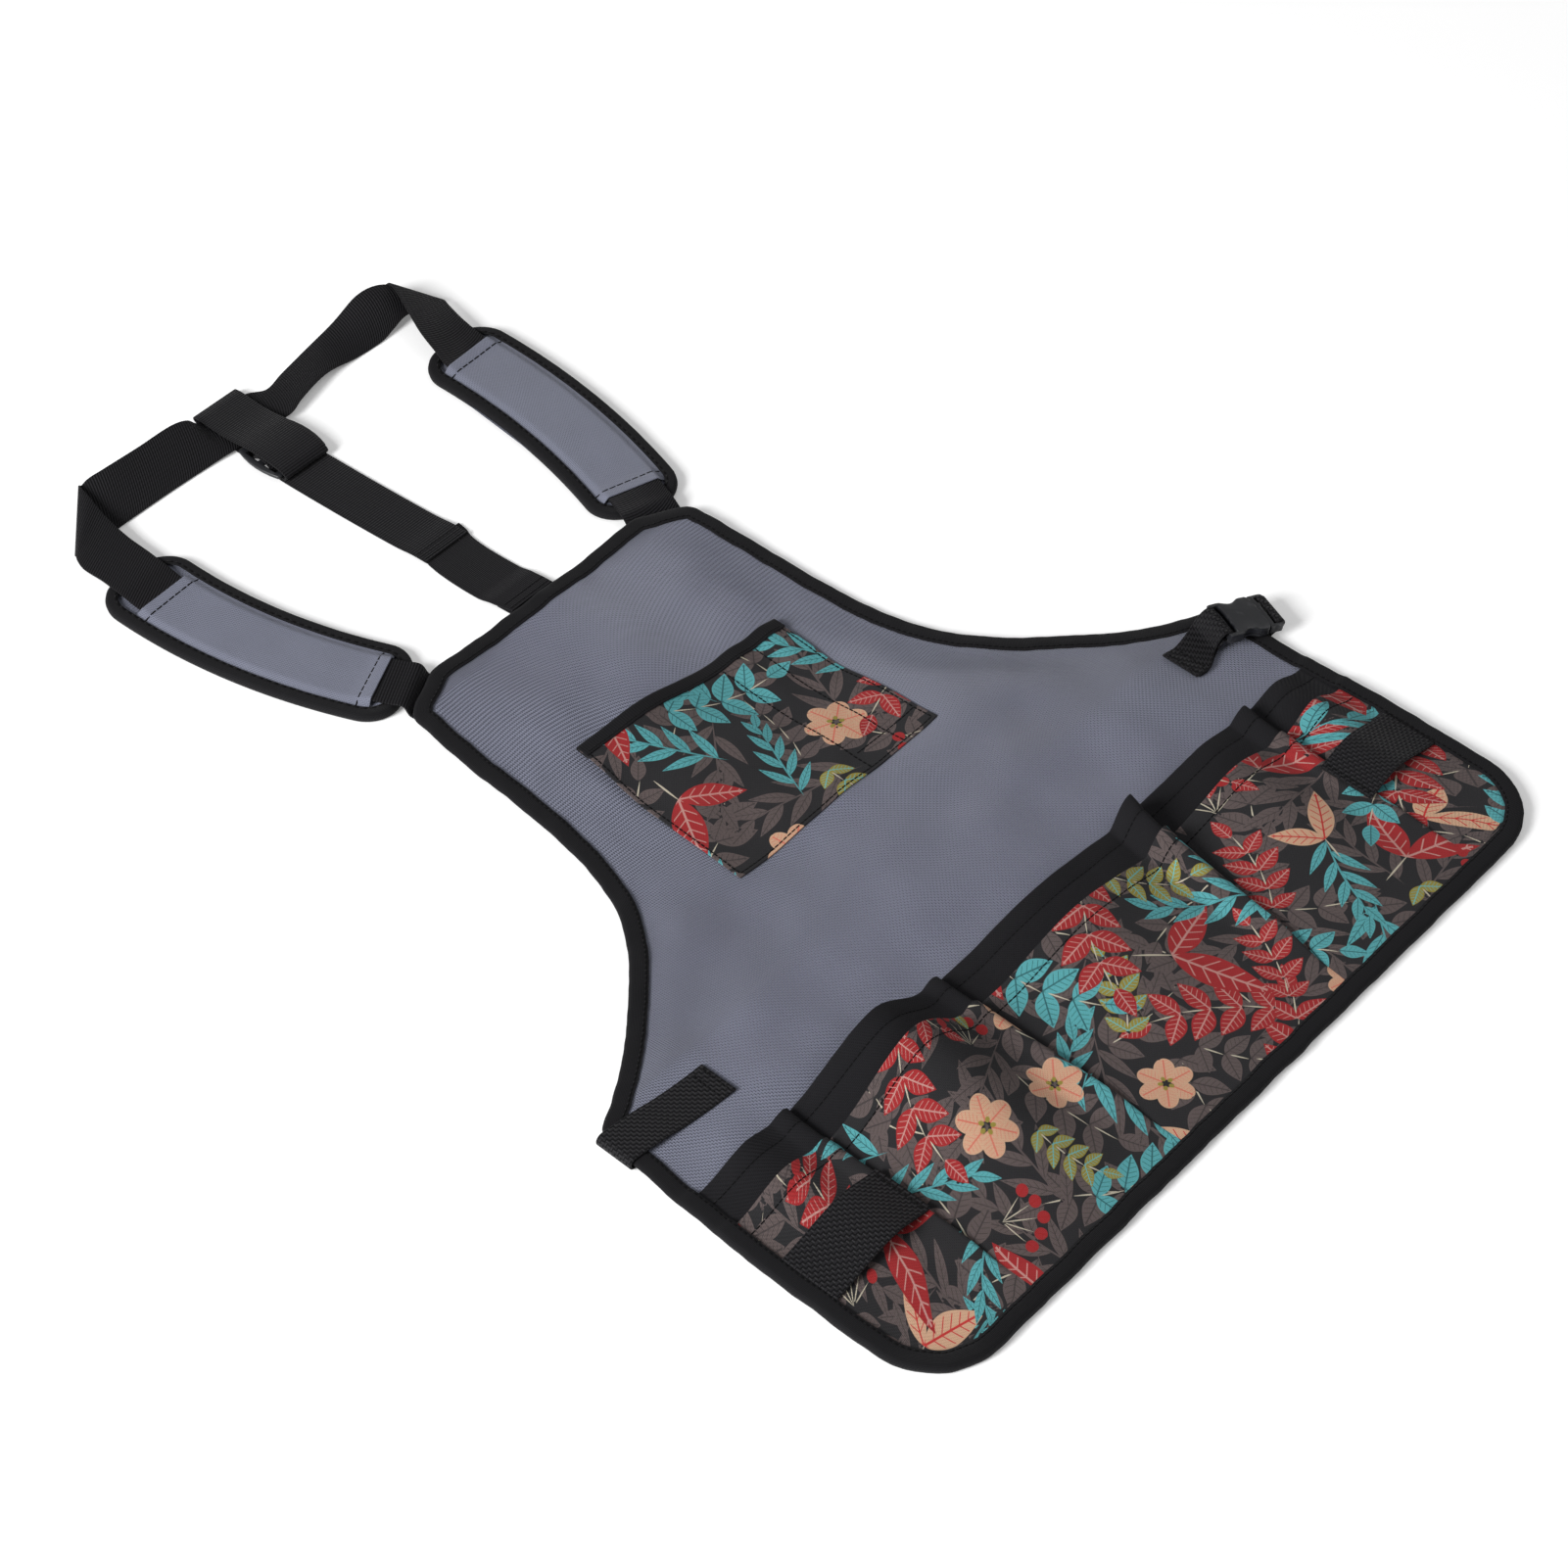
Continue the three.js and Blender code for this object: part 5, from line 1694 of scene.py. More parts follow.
@dataclass
class ShoulderPads:
    """Two padded shoulder pieces, bound all round, each with a sleeve that the neck strap runs through."""

    cut: Cut
    finishes: Finishes
    length: float = 214.0
    half: float = 33.0
    corner: float = 23.0
    tape: float = 8.5
    rim: float = 3.0
    cloth: float = 1.0
    inset: float = 2.0
    belly: float = 0.9
    dive: Step = Step(10.0, 24.0)
    hem: float = 8.0
    edge_steps: int = 260
    fold: float = 2.0
    stitch_in: float = 1.6
    sewn: float = 0.8
    pucker: Ripple = Ripple(0.14, 8.0, 4.0)
    slack: Ripple = Ripple(0.35, 22.0, 6.0)
    places: tuple[PadPlace, ...] = (
        PadPlace("left", -110.5, 593.5, 118, -30, 17, 32),
        PadPlace("right", 107.5, 594.5, 71, 24, 17, 20),
    )

    @property
    def folded(self) -> FoldedTape:
        """The tape round a pad."""
        return FoldedTape(self.tape, self.fold, self.fold - self.cut.tape / 2, 0.25, 0.2)

    @property
    def rim_top(self) -> float:
        """Height of the padding's upper face."""
        return self.cut.tape + self.cut.gap + self.rim

    @property
    def slot(self) -> float:
        """Height of the upper side of what the tape binds."""
        return self.rim_top + 2 * self.cut.gap + self.cloth

    def point(self, place: PadPlace, s: float, v: float, z: float) -> Vector:
        """Return a point from its distance along the pad's arc and across it."""
        start = math.radians(place.heading)
        turn = math.radians(place.turn)
        angle = start + turn * s / self.length
        radius = self.length / turn
        x = place.x + radius * (math.sin(angle) - math.sin(start))
        y = place.y - radius * (math.cos(angle) - math.cos(start))
        return Vector((x + v * math.sin(angle), y - v * math.cos(angle), z))

    def strap_height(self, s: float) -> float:
        """Return the height of the strap's middle along a pad: over the tape at its ends, down between."""
        over = self.slot + self.cut.tape + self.cut.gap + self.cut.webbing / 2
        bed = self.rim_top + self.cut.gap + self.cut.webbing / 2
        return lerp(over, bed, self.dive.at(min(s, self.length - s)))

    def half_at(self, s: float, inset: float) -> float:
        """Return the pad's half width along its arc, drawn in by an inset."""
        radius = self.corner - inset
        into = max(self.corner - min(s, self.length - s), 0.0)
        return self.half - self.corner + math.sqrt(max(radius ** 2 - into ** 2, 0.0))

    def base(self, place: PadPlace) -> None:
        """Build the padding: a flat body with a rounded rim and a soft belly."""
        floor = self.cut.tape + self.cut.gap

        def at(u: float, v: float) -> Vector:
            """Return a point of the padding's face."""
            turn = math.tau * u
            s = lerp(self.inset, self.length - self.inset, 0.5 - 0.5 * math.cos(math.pi * v))
            half = self.half_at(s, self.inset)
            across = -half * math.cos(turn)
            upper = math.sin(turn) >= 0
            crown = abs(math.sin(turn)) ** 0.25
            deep = smooth((min(s, self.length - s) - self.tape) / self.corner)
            middle = (floor + self.rim_top) / 2
            tall = self.rim / 2 * crown
            puff = 0.0 if upper else self.belly * deep * (1 - (across / self.half) ** 2)
            z = middle + (tall if upper else -tall - puff)
            return self.cut.layout.place(self.point(place, s, across, z))

        bm = lay_grid(64, 110, at, welded=True)
        close_ends(bm)
        pad = put(bm, f"padding_{place.side}", [self.finishes.pad_grey], [f"pad_{place.side}"])

    def edge(self) -> list[Pair]:
        """Return the closed outline of a pad, as distances along and across it."""
        low = []
        for n in range(13):
            turn = math.pi / 2 * n / 12
            low.append((self.corner * (1 - math.cos(turn)), self.half - self.corner * (1 - math.sin(turn))))
        sides = [(lerp(self.corner, self.length - self.corner, n / 40), self.half) for n in range(1, 40)]
        right = [*low, *sides, *((self.length - s, v) for s, v in reversed(low))]
        return right + [(s, -v) for s, v in reversed(right)]

    def binding_point(self, section: Section, share: float) -> Vector:
        """Return a point of the middle of the tape round a pad."""
        edge, out = section
        inset, z = self.folded.section(share, self.slot + self.cut.tape / 2, self.cut.tape / 2)
        at = edge - out * inset
        pucker = self.pucker.at(edge.x, edge.y) if share < 0.5 else 0.0
        return Vector((at.x, at.y, z + pucker))

    def sections(self, place: PadPlace) -> list[Section]:
        """Return even places round a pad's edge, each with the direction out of it."""
        line = [self.point(place, s, v, 0.0) for s, v in self.edge()]
        return round_edge(line, self.edge_steps, 1)

    def binding(self, place: PadPlace) -> None:
        """Build the tape round a pad."""
        sections = self.sections(place)

        def at(u: float, v: float) -> Vector:
            """Return a point of the tape's middle."""
            section = sections[round(v * self.edge_steps) % self.edge_steps]
            return self.cut.layout.place(self.binding_point(section, u))

        bm = lay_grid(20, self.edge_steps, at, welded=True)
        name = f"pad_{place.side}_binding"
        wall = Wall(self.cut.tape_wall)
        put(bm, f"pad_tape_{place.side}", [self.finishes.tape], [name], wall)

    def cover_point(self, place: PadPlace, s: float, share: float, lift: float = 0.0) -> Vector:
        """Return a point of the cover's middle from its distance along and its share across."""
        half = self.half_at(s, self.inset)
        v = half * share
        raised = self.strap_height(s) + self.cut.webbing / 2 + self.cut.gap + self.cloth / 2
        rest = self.rim_top + self.cut.gap + self.cloth / 2
        column = self.cut.strap_width / 2 + 1
        inner = max(self.half_at(s, self.tape) - 0.5, column + 1)
        away = smooth((abs(v) - column + 2) / (inner - column + 2))
        slack = self.slack.at(v, s) * (1 - abs(share)) + 0.15
        fold = 0.4 * smooth((self.hem - min(s - place.hem_low, self.length - place.hem_high - s)) / 1.2)
        return self.point(place, s, v, lerp(raised, rest, away) + max(slack, 0) + fold * (1 - away) + lift)

    def cover(self, place: PadPlace) -> None:
        """Build the sleeve over the strap, open at both hemmed ends."""
        last = self.length - place.hem_high

        def at(u: float, v: float) -> Vector:
            """Return a point of the sleeve's middle."""
            return self.cut.layout.place(self.cover_point(place, lerp(place.hem_low, last, v), 2 * u - 1))

        bm = lay_grid(56, 140, at)
        name = f"pad_{place.side}_cover"
        cover = put(
            bm, f"sleeve_{place.side}", [self.finishes.pad_grey], [name], Wall(self.cloth),
        )
        flat = (2 * (self.half - self.inset) * MM, (last - place.hem_low) * MM)

    def stitches(self) -> None:
        """Sew the hems of the covers and the tapes round the pads."""
        bm = bmesh.new()
        thread = Thread(stitch=4.2, step=5.5, width=1.15)
        for place in self.places:
            for s in (place.hem_low + self.hem, self.length - place.hem_high - self.hem):
                shares = [lerp(-self.sewn, self.sewn, n / 40) for n in range(41)]
                line = [self.cover_point(place, s, share, self.cloth / 2) for share in shares]
                thread.sew(bm, self.cut.layout.line(line))
            share = self.folded.share_at(self.tape - self.stitch_in)
            up = Vector((0, 0, self.cut.tape_wall / 2))
            line = [self.cut.layout.place(self.binding_point(x, share) + up) for x in self.sections(place)]
            thread.sew(bm, line + [line[0]])
        thread.finish(bm, "pad_stitches", self.finishes.thread)

    def build(self) -> None:
        """Build both pads and their stitching."""
        for place in self.places:
            self.base(place)
            self.binding(place)
            self.cover(place)
        self.stitches()


# Straps

STRAP_THREAD = Thread(stitch=2.6, step=3.4, width=0.8)


@dataclass
class NeckStrap:
    """The strap from one bib corner through a pad, round the neck and down through the other pad."""

    cut: Cut
    finishes: Finishes
    pads: ShoulderPads
    steps: int = 520
    on_left: tuple[float, ...] = (-3, 6, 14, 22, 32, 60, 106, 154, 182, 192, 200, 208, 217)
    on_right: tuple[float, ...] = (192, 182, 154, 106, 60, 32, 22, 14, 6, -3)
    left_root: tuple[tuple[Point, Point], ...] = (
        ((-107, 545, 0.9), (-74, 563, 0.9)), ((-116, 561, 0.9), (-82, 579, 0.9)),
        ((-124.5, 576, 1.6), (-90.5, 594, 1.6)),
    )
    back_of_neck: tuple[tuple[Point, Point], ...] = (
        ((-177.5, 821.5, 7.6), (-139, 822, 8.4)), ((-174.5, 831, 7), (-137, 846, 10.5)),
        ((-172, 835, 5.8), (-134, 865, 14.5)), ((-171, 836.6, 3.8), (-131.5, 876, 14)),
        ((-168, 837.5, 1.8), (-129, 877.3, 11.5)), ((-150, 838, 0.9), (-123.5, 877, 13.5)),
        ((-120, 838.5, 0.9), (-113, 874, 16.5)), ((-86, 838.5, 0.9), (-83, 874, 15)),
        ((-56, 837.5, 1.2), (-51, 874, 14)), ((-42, 836.3, 2.2), (-40.5, 872.8, 11)),
        ((-33, 835.4, 2.7), (-32.5, 872.2, 3.4)), ((-12, 835, 2.7), (-12, 872, 2.7)),
        ((8.5, 834, 3), (9.5, 870, 2.6)), ((16.5, 832, 5.4), (22, 864.2, 1.4)),
        ((28, 835, 7.5), (40, 868, 1.6)), ((58, 842, 6.5), (72, 875, 0.9)),
        ((86, 842.5, 1.4), (97.5, 877, 5.5)), ((110, 842, 1), (115.5, 876.3, 14.5)),
        ((121, 843, 3.6), (121.5, 875.5, 16.4)), ((133.5, 844, 6.6), (127.5, 874.5, 17)),
        ((146, 842.5, 5.2), (134, 872.5, 16.8)), ((156, 840.8, 3.4), (138, 870.8, 16)),
        ((161.5, 839.5, 3.6), (140.3, 869.8, 15.4)), ((163, 837.5, 5.2), (141.3, 868.2, 16.6)),
        ((162, 834.5, 6.8), (140.5, 864.5, 18)), ((160, 828.5, 7.5), (136, 852.5, 18.6)),
        ((157.8, 820, 7.9), (129.2, 836.5, 18.2)), ((156, 811.5, 8.1), (121.3, 816, 15.8)),
        ((154.6, 801, 7.95), (117.8, 797.5, 10.6)), ((153.8, 792.6, 7.76), (116.2, 790, 8.2)),
    )
    right_root: tuple[tuple[Point, Point], ...] = (
        ((123.5, 576.5, 1.8), (88, 592, 1.8)), ((117, 563, 0.9), (82, 578, 0.9)),
        ((107, 548, 0.9), (72, 561, 0.9)),
    )

    def sections(self) -> list[Section]:
        """Return the two edges of the strap's width at each of its given sections."""
        half = self.cut.strap_width / 2

        def through(place: PadPlace, along: Sequence[float], near: int) -> list[Section]:
            """Return the sections inside a pad."""
            rows = []
            for s in along:
                z = self.pads.strap_height(s)
                rows.append(tuple(self.pads.point(place, s, side * half, z) for side in (near, -near)))
            return rows

        def given(rows: Sequence[tuple[Point, Point]]) -> list[Section]:
            """Return the sections of a table."""
            return [(Vector(near), Vector(far)) for near, far in rows]

        left, right = self.pads.places
        return [
            *given(self.left_root), *through(left, self.on_left, -1), *given(self.back_of_neck),
            *through(right, self.on_right, 1), *given(self.right_root),
        ]

    def build(self) -> None:
        """Build the strap."""
        sections = self.sections()
        near, far = (eased([section[k] for section in sections], self.steps) for k in (0, 1))
        floor = self.cut.webbing / 2
        for p in (*near, *far):
            p.z = max(p.z, floor)
        strap = Webbing(self.cut.layout, self.cut.strap_width, self.cut.webbing)
        bm = strap.sweep(list(zip(near, far)))
        put(bm, "neck_webbing", [self.finishes.webbing], ["neck_strap"])


@dataclass
class BackStrap:
    """The strap from the loop over the neck strap, by its slider and an elastic length, to the belt."""

    cut: Cut
    finishes: Finishes
    elastic_width: float = 39.0
    splice_high: float = 672.0
    splice_low: float = 600.0
    lap: float = 6.0
    slider_rounding: float = 0.9
    steps: int = 120
    past_lap: float = 3.0
    elastic_ease: float = 12.0
    belt_ease: float = 16.0
    wander: Ripple = Ripple(0.6, 47.0, 4.0)
    splice_rows: tuple[float, ...] = (668.5, 672.0, 675.5, 596.5, 601.5)
    sewn_half: float = 17.5
    elastic_left: Curve = Curve((
        (594, -16.5), (600, -18), (608, -20.2), (621, -22), (640, -23), (654, -22.8), (664, -21.8),
        (670, -20.6), (678, -20.4),
    ))
    elastic_right: Curve = Curve((
        (594, 19.5), (600, 19), (608, 17.8), (621, 16.4), (640, 15), (654, 14.8), (664, 15.8), (670, 17.8),
        (678, 18.8),
    ))
    route: tuple[Pair, ...] = (
        (666, 2.55), (679, 2.45), (691, 1.2), (704, 0.8), (745, 0.75), (785, 0.75), (794, 0.85), (799.5, 2.2),
        (803.5, 5.0), (807.5, 7.65), (811, 8.1), (814.5, 7.65), (818.5, 5.0), (822.5, 2.2), (828, 0.85),
        (837, 0.75), (862, 0.75), (872, 0.85), (877, 2.1), (877.5, 3.8), (873, 5.2), (864, 5.4), (850, 5.6),
        (838, 7.2), (827, 9.4), (811, 10.4), (799, 9.6), (791.5, 8.1), (788.3, 5.6), (789.6, 3.2), (793, 2.6),
    )

    def upper(self) -> None:
        """Build the looped length."""
        line = eased([Vector((self.cut.back_line.at(y), y, z)) for y, z in self.route], 320)
        for p in line:
            p.z = max(p.z, self.cut.webbing / 2)
        strap = Webbing(self.cut.layout, self.cut.strap_width, self.cut.webbing)
        bm = strap.level(line, [Vector((1, 0, 0))] * len(line))
        put(bm, "back_webbing_upper", [self.finishes.webbing], ["back_strap_upper"])

    def lapped(self, y: float, past: float, ease: float) -> float:
        """Return the height of webbing that lies over another up to a place, then on the surface."""
        over = (self.cut.webbing + self.cut.gap) * (1 - smooth((y - past - self.past_lap) / ease))
        return self.cut.webbing / 2 + over

    def elastic(self) -> None:
        """Build the elastic length between the splices."""
        edges = []
        for n in range(self.steps + 1):
            y = lerp(self.splice_low - self.lap, self.splice_high + self.lap, n / self.steps)
            z = self.lapped(y, self.splice_low + self.lap, self.elastic_ease)
            edges.append((Vector((self.elastic_left.at(y), y, z)), Vector((self.elastic_right.at(y), y, z))))
        bm = Webbing(self.cut.layout, self.elastic_width, self.cut.webbing).sweep(edges)
        put(bm, "elastic_length", [self.finishes.ribbed], ["back_elastic"])

    def lower(self) -> None:
        """Build the length under the apron down to the belt."""
        cut = self.cut
        half = cut.belt_width / 2
        line = []
        for n in range(self.steps + 1):
            y = lerp(cut.belt_y - half, self.splice_low + self.lap, n / self.steps)
            z = self.lapped(y, cut.belt_y + half, self.belt_ease)
            line.append(Vector((cut.back_line.at(y) + self.wander.at(0.0, y), y, z)))
        strap = Webbing(cut.layout, cut.strap_width, cut.webbing)
        bm = strap.level(line, [Vector((1, 0, 0))] * len(line))
        put(bm, "back_webbing_lower", [self.finishes.webbing], ["back_strap_lower"])

    def slider(self) -> None:
        """Build the three-bar slider with rounded edges."""
        own = Matrix.Translation(self.cut.layout.origin) @ Matrix.Scale(MM, 4)
        bm = Moulding("strap_slider", self.slider_rounding, own).build()
        put(bm, "slider", [self.finishes.plastic], ["strap_slider"])

    def stitches(self) -> None:
        """Sew the splices."""
        bm = bmesh.new()
        thread = STRAP_THREAD
        top = 2 * self.cut.webbing + self.cut.gap + 0.05
        for y in self.splice_rows:
            middle = self.cut.back_line.at(y)
            line = [Vector((middle + x, y, top)) for x in (-self.sewn_half, self.sewn_half)]
            thread.sew(bm, self.cut.layout.line(line))
        thread.finish(bm, "splice_stitches", self.finishes.thread)

    def build(self) -> None:
        """Build the lengths, the slider and the splices."""
        self.upper()
        self.slider()
        self.elastic()
        self.lower()
        self.stitches()


@dataclass
class Moulding:
    """A moulded solid's copy, rounded and shaped in its own frame of millimetres.

    The frame's X runs along the solid, Y across it and Z out of its front. Corner is the rounding of the
    upright edges, and shape moves the points of the finely cut copy.
    """

    node: str
    rounding: float
    own: Matrix
    corner: float = 0.0
    shape: Callable[[Vector], Vector] | None = None
    spacing: float = 1.6

    def round_off(
        self, bm: BMesh, edges: list[bmesh.types.BMEdge], width: float, steps: int,
    ) -> None:
        """Round edges of the copy."""
        bmesh.ops.bevel(
            bm, geom=edges, offset=width, segments=steps, profile=0.5, affect="EDGES", material=-1,
            clamp_overlap=True,
        )

    def sharp(self, bm: BMesh) -> list[bmesh.types.BMEdge]:
        """Return the edges that turn by more than 30 degrees."""
        return [e for e in bm.edges if len(e.link_faces) == 2 and e.calc_face_angle(0) > math.radians(30)]

    def reshape(self, bm: BMesh) -> None:
        """Cut the copy finely along and across, and move its points."""
        for axis in (0, 1):
            places = [v.co[axis] for v in bm.verts]
            low, high = min(places), max(places)
            count = int((high - low) / self.spacing)
            for n in range(1, count):
                at = Vector((0, 0, 0))
                at[axis] = lerp(low, high, n / count)
                normal = Vector((0, 0, 0))
                normal[axis] = 1.0
                everything = [*bm.verts, *bm.edges, *bm.faces]
                bmesh.ops.bisect_plane(bm, geom=everything, dist=1e-4, plane_co=at, plane_no=normal)
        for v in bm.verts:
            v.co = self.shape(v.co)

    def build(self) -> BMesh:
        """Make the copy, in the scene."""
        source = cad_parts[self.node]
        bm = bmesh.new()
        bm.from_mesh(source.data)
        bmesh.ops.transform(bm, matrix=self.own.inverted() @ source.matrix_world, verts=bm.verts)
        bmesh.ops.remove_doubles(bm, verts=bm.verts, dist=1e-2)
        bmesh.ops.dissolve_limit(bm, angle_limit=math.radians(1), verts=bm.verts, edges=bm.edges)
        if self.corner > 0:
            lows = [min(v.co[axis] for v in bm.verts) for axis in (0, 1)]
            highs = [max(v.co[axis] for v in bm.verts) for axis in (0, 1)]
            upright = []
            for edge in self.sharp(bm):
                middle = (edge.verts[0].co + edge.verts[1].co) / 2
                ends = all(min(middle[a] - lows[a], highs[a] - middle[a]) < 0.05 for a in (0, 1))
                along = edge.verts[0].co - edge.verts[1].co
                if ends and abs(along.z) > 0.9 * along.length:
                    upright.append(edge)
            self.round_off(bm, upright, self.corner, 5)
        self.round_off(bm, self.sharp(bm), self.rounding, 3)
        if self.shape is not None:
            self.reshape(bm)
        bmesh.ops.transform(bm, matrix=self.own, verts=bm.verts)
        for face in bm.faces:
            face.smooth = True
        return bm


@dataclass
class BeltAndBuckle:
    """The waist belt under the apron, its doubled tab, and the fastened side-release buckle."""

    cut: Cut
    finishes: Finishes
    at: Point = (264.5, 245.5, 16.8)
    yaw: float = -20.0
    pitch: float = -10.5
    turn: float = 3.15
    male_bar: float = 38.9
    tab_x: float = 225.5
    tab_spread: float = 0.13
    tab_y: float = 245.2
    doubled: float = 12.0
    fold: float = -286.0
    over: float = -260.0
    front_rows: tuple[float, ...] = (-211, -226, -240, -250)
    under: tuple[Pair, ...] = (
        (-240, 242), (-120, 242), (0, 242), (120, 243), (190, 245), (225, 246), (250, 244.3), (270, 240.9),
        (291.5, 234.8),
    )
    bend: Step = Step(190.0, 70.0)
    slant: float = -0.114
    spread: float = 0.09
    half: float = 15.5
    waist: float = 0.2
    waist_at: float = 15.0
    waist_reach: float = 8.0
    crown: float = 0.3
    swell: float = 0.1
    swell_reach: float = 14.0
    front_rise: float = 2.0
    tab_twist: Step = Step(234.0, 30.0)
    tab_ease: float = 34.0
    leave: float = 3.2
    narrowing: Step = Step(-80.0, -120.0)
    tab_seams: tuple[float, ...] = (2.5, 9.5)
    belt_seams: tuple[float, ...] = (-213.5, -220.5)
    seam_shifts: tuple[float, ...] = (-11.0, 0.0, 11.0)
    corners: tuple[tuple[str, float], ...] = (("female", 3.4), ("male", 2.2))
    rounding: float = 0.9

    @property
    def matrix(self) -> Matrix:
        """The buckle's own frame in the layout."""
        yaw = Matrix.Rotation(math.radians(self.yaw), 4, "Z")
        pitch = Matrix.Rotation(math.radians(-self.pitch), 4, "Y")
        return Matrix.Translation(Vector(self.at)) @ yaw @ pitch

    @property
    def across(self) -> Vector:
        """The direction across the buckle."""
        return (self.matrix.to_3x3() @ Vector((0, 1, 0))).normalized()

    def near(self, x: float, z: float) -> Vector:
        """Return a point of the buckle's middle plane in the layout."""
        return self.matrix @ Vector((x, 0, z))

    def round_bar(self, bar: float, start: float, end: float, steps: int) -> list[Vector]:
        """Return a strap's turn round a bar, between two angles in degrees."""
        points = []
        for n in range(steps + 1):
            angle = math.radians(lerp(start, end, n / steps))
            points.append(self.near(bar + self.turn * math.cos(angle), self.turn * math.sin(angle)))
        return points

    def front_y(self, x: float) -> float:
        """Return where the belt's end crosses the panel's front, a little aslant."""
        return self.cut.belt_y + self.front_rise + self.slant * (x - self.fold)

    def waisted(self, p: Vector) -> Vector:
        """Return where a point of the boxy buckle lies with its waist drawn in and its faces crowned."""
        drawn = 1 - self.waist * hump((p.x - self.waist_at) / self.waist_reach)
        crowned = 1 - self.crown * (p.y / self.half) ** 2
        swell = 1 + self.swell * hump((p.x - self.waist_at) / self.swell_reach)
        return Vector((p.x, p.y * drawn, p.z * crowned * swell))

    def resting(self, x: float, y: float, lap: float = 0.0) -> Vector:
        """Return a point of webbing that lies on the panel."""
        return self.cut.on_panel(x, y, 2 * self.cut.gap + self.cut.webbing / 2 + lap)

    def tab_across(self, x: float) -> Vector:
        """Return the way across the tab, square on the panel and turned with the buckle at its bar."""
        turned = Vector((0, 1, 0)).lerp(self.across, self.tab_twist.at(x)).normalized()
        return turned * (1 + self.tab_spread * (1 - smooth((x - self.tab_x) / self.tab_ease)))

    def tab(self) -> None:
        """Build the doubled tab from the panel round the female bar and back."""
        lap = self.cut.webbing + self.cut.gap
        inner = self.tab_x + self.doubled
        lower = [self.resting(self.tab_x + 3, self.tab_y), self.resting(inner, self.tab_y - 0.7)]
        upper = [self.resting(inner, self.tab_y - 0.7, lap), self.resting(self.tab_x, self.tab_y, lap)]
        below = [self.near(-7.4, -10.9), self.near(-5.2, -5.6), self.near(-self.leave, -self.turn)]
        above = [self.near(-self.leave, self.turn), self.near(-6.6, -0.6), self.near(-9.4, -8.2)]
        route = [*lower, *below, *self.round_bar(0.0, -90, 90, 8), *above, *upper]
        line = eased(route, 150)
        strap = Webbing(self.cut.layout, self.cut.belt_width, self.cut.webbing)
        bm = strap.level(line, [self.tab_across(p.x) for p in line])
        put(bm, "tab_webbing", [self.finishes.basket], ["buckle_tab"])

    def belt(self) -> None:
        """Build the belt from the panel's left side, under the apron, to the male bar."""
        cut = self.cut
        floor = cut.webbing / 2
        over = cut.ground(self.fold, cut.belt_y) + cut.slot_top(cut.belt_y) + cut.tape + cut.gap + floor
        route = [self.resting(x, self.front_y(x)) for x in self.front_rows]
        route.append(Vector((self.over, self.front_y(self.over), over)))
        radius = (over - floor) / 2
        for n in range(13):
            angle = math.pi * n / 12
            x = self.fold - radius * math.sin(angle)
            route.append(Vector((x, self.front_y(self.fold), floor + radius * (1 + math.cos(angle)))))
        route += [Vector((x, y, floor)) for x, y in self.under]
        bar = self.male_bar
        route += [self.near(bar - 4, -self.turn - 4), self.near(bar - 0.6, -self.turn - 1.3)]
        route += self.round_bar(bar, -55, 90, 7)
        route += [self.near(bar - 1.6, self.turn - 0.1), self.near(bar - 3.3, self.turn - 1.3)]
        line = eased(route, 300)
        across = []
        for p in line:
            p.z = max(p.z, floor)
            wide = 1 + self.spread * self.narrowing.at(p.x)
            across.append(Vector((0, 1, 0)).lerp(self.across, self.bend.at(p.x)).normalized() * wide)
        strap = Webbing(cut.layout, cut.belt_width, cut.webbing)
        bm = strap.level(line, across)
        put(bm, "belt_webbing", [self.finishes.basket], ["waist_belt"])

    def buckle(self) -> None:
        """Build both halves of the buckle with rounded edges."""
        layout = self.cut.layout
        own = Matrix.Translation(layout.origin) @ Matrix.Scale(MM, 4) @ self.matrix
        for half, corner in self.corners:
            bm = Moulding(f"buckle_{half}", self.rounding, own, corner, self.waisted).build()
            put(bm, f"{half}_half", [self.finishes.plastic], [f"buckle_{half}"])

    def stitches(self) -> None:
        """Sew the tab and the belt's end to the panel."""
        bm = bmesh.new()
        thread = STRAP_THREAD
        lap = self.cut.webbing + self.cut.gap
        on_top = self.cut.webbing / 2 + 0.05
        for x in (self.tab_x + seam for seam in self.tab_seams):
            line = []
            for shift in self.seam_shifts:
                line.append(self.resting(x, self.tab_y, lap + on_top) + self.tab_across(x) * shift)
            thread.sew(bm, self.cut.layout.line(line))
        for x in self.belt_seams:
            line = [self.resting(x, self.front_y(x) + shift, on_top) for shift in self.seam_shifts]
            thread.sew(bm, self.cut.layout.line(line))
        thread.finish(bm, "belt_stitches", self.finishes.thread)

    def build(self) -> None:
        """Build the belt, the tab, the buckle and the stitching."""
        self.belt()
        self.tab()
        self.buckle()
        self.stitches()


# Studio

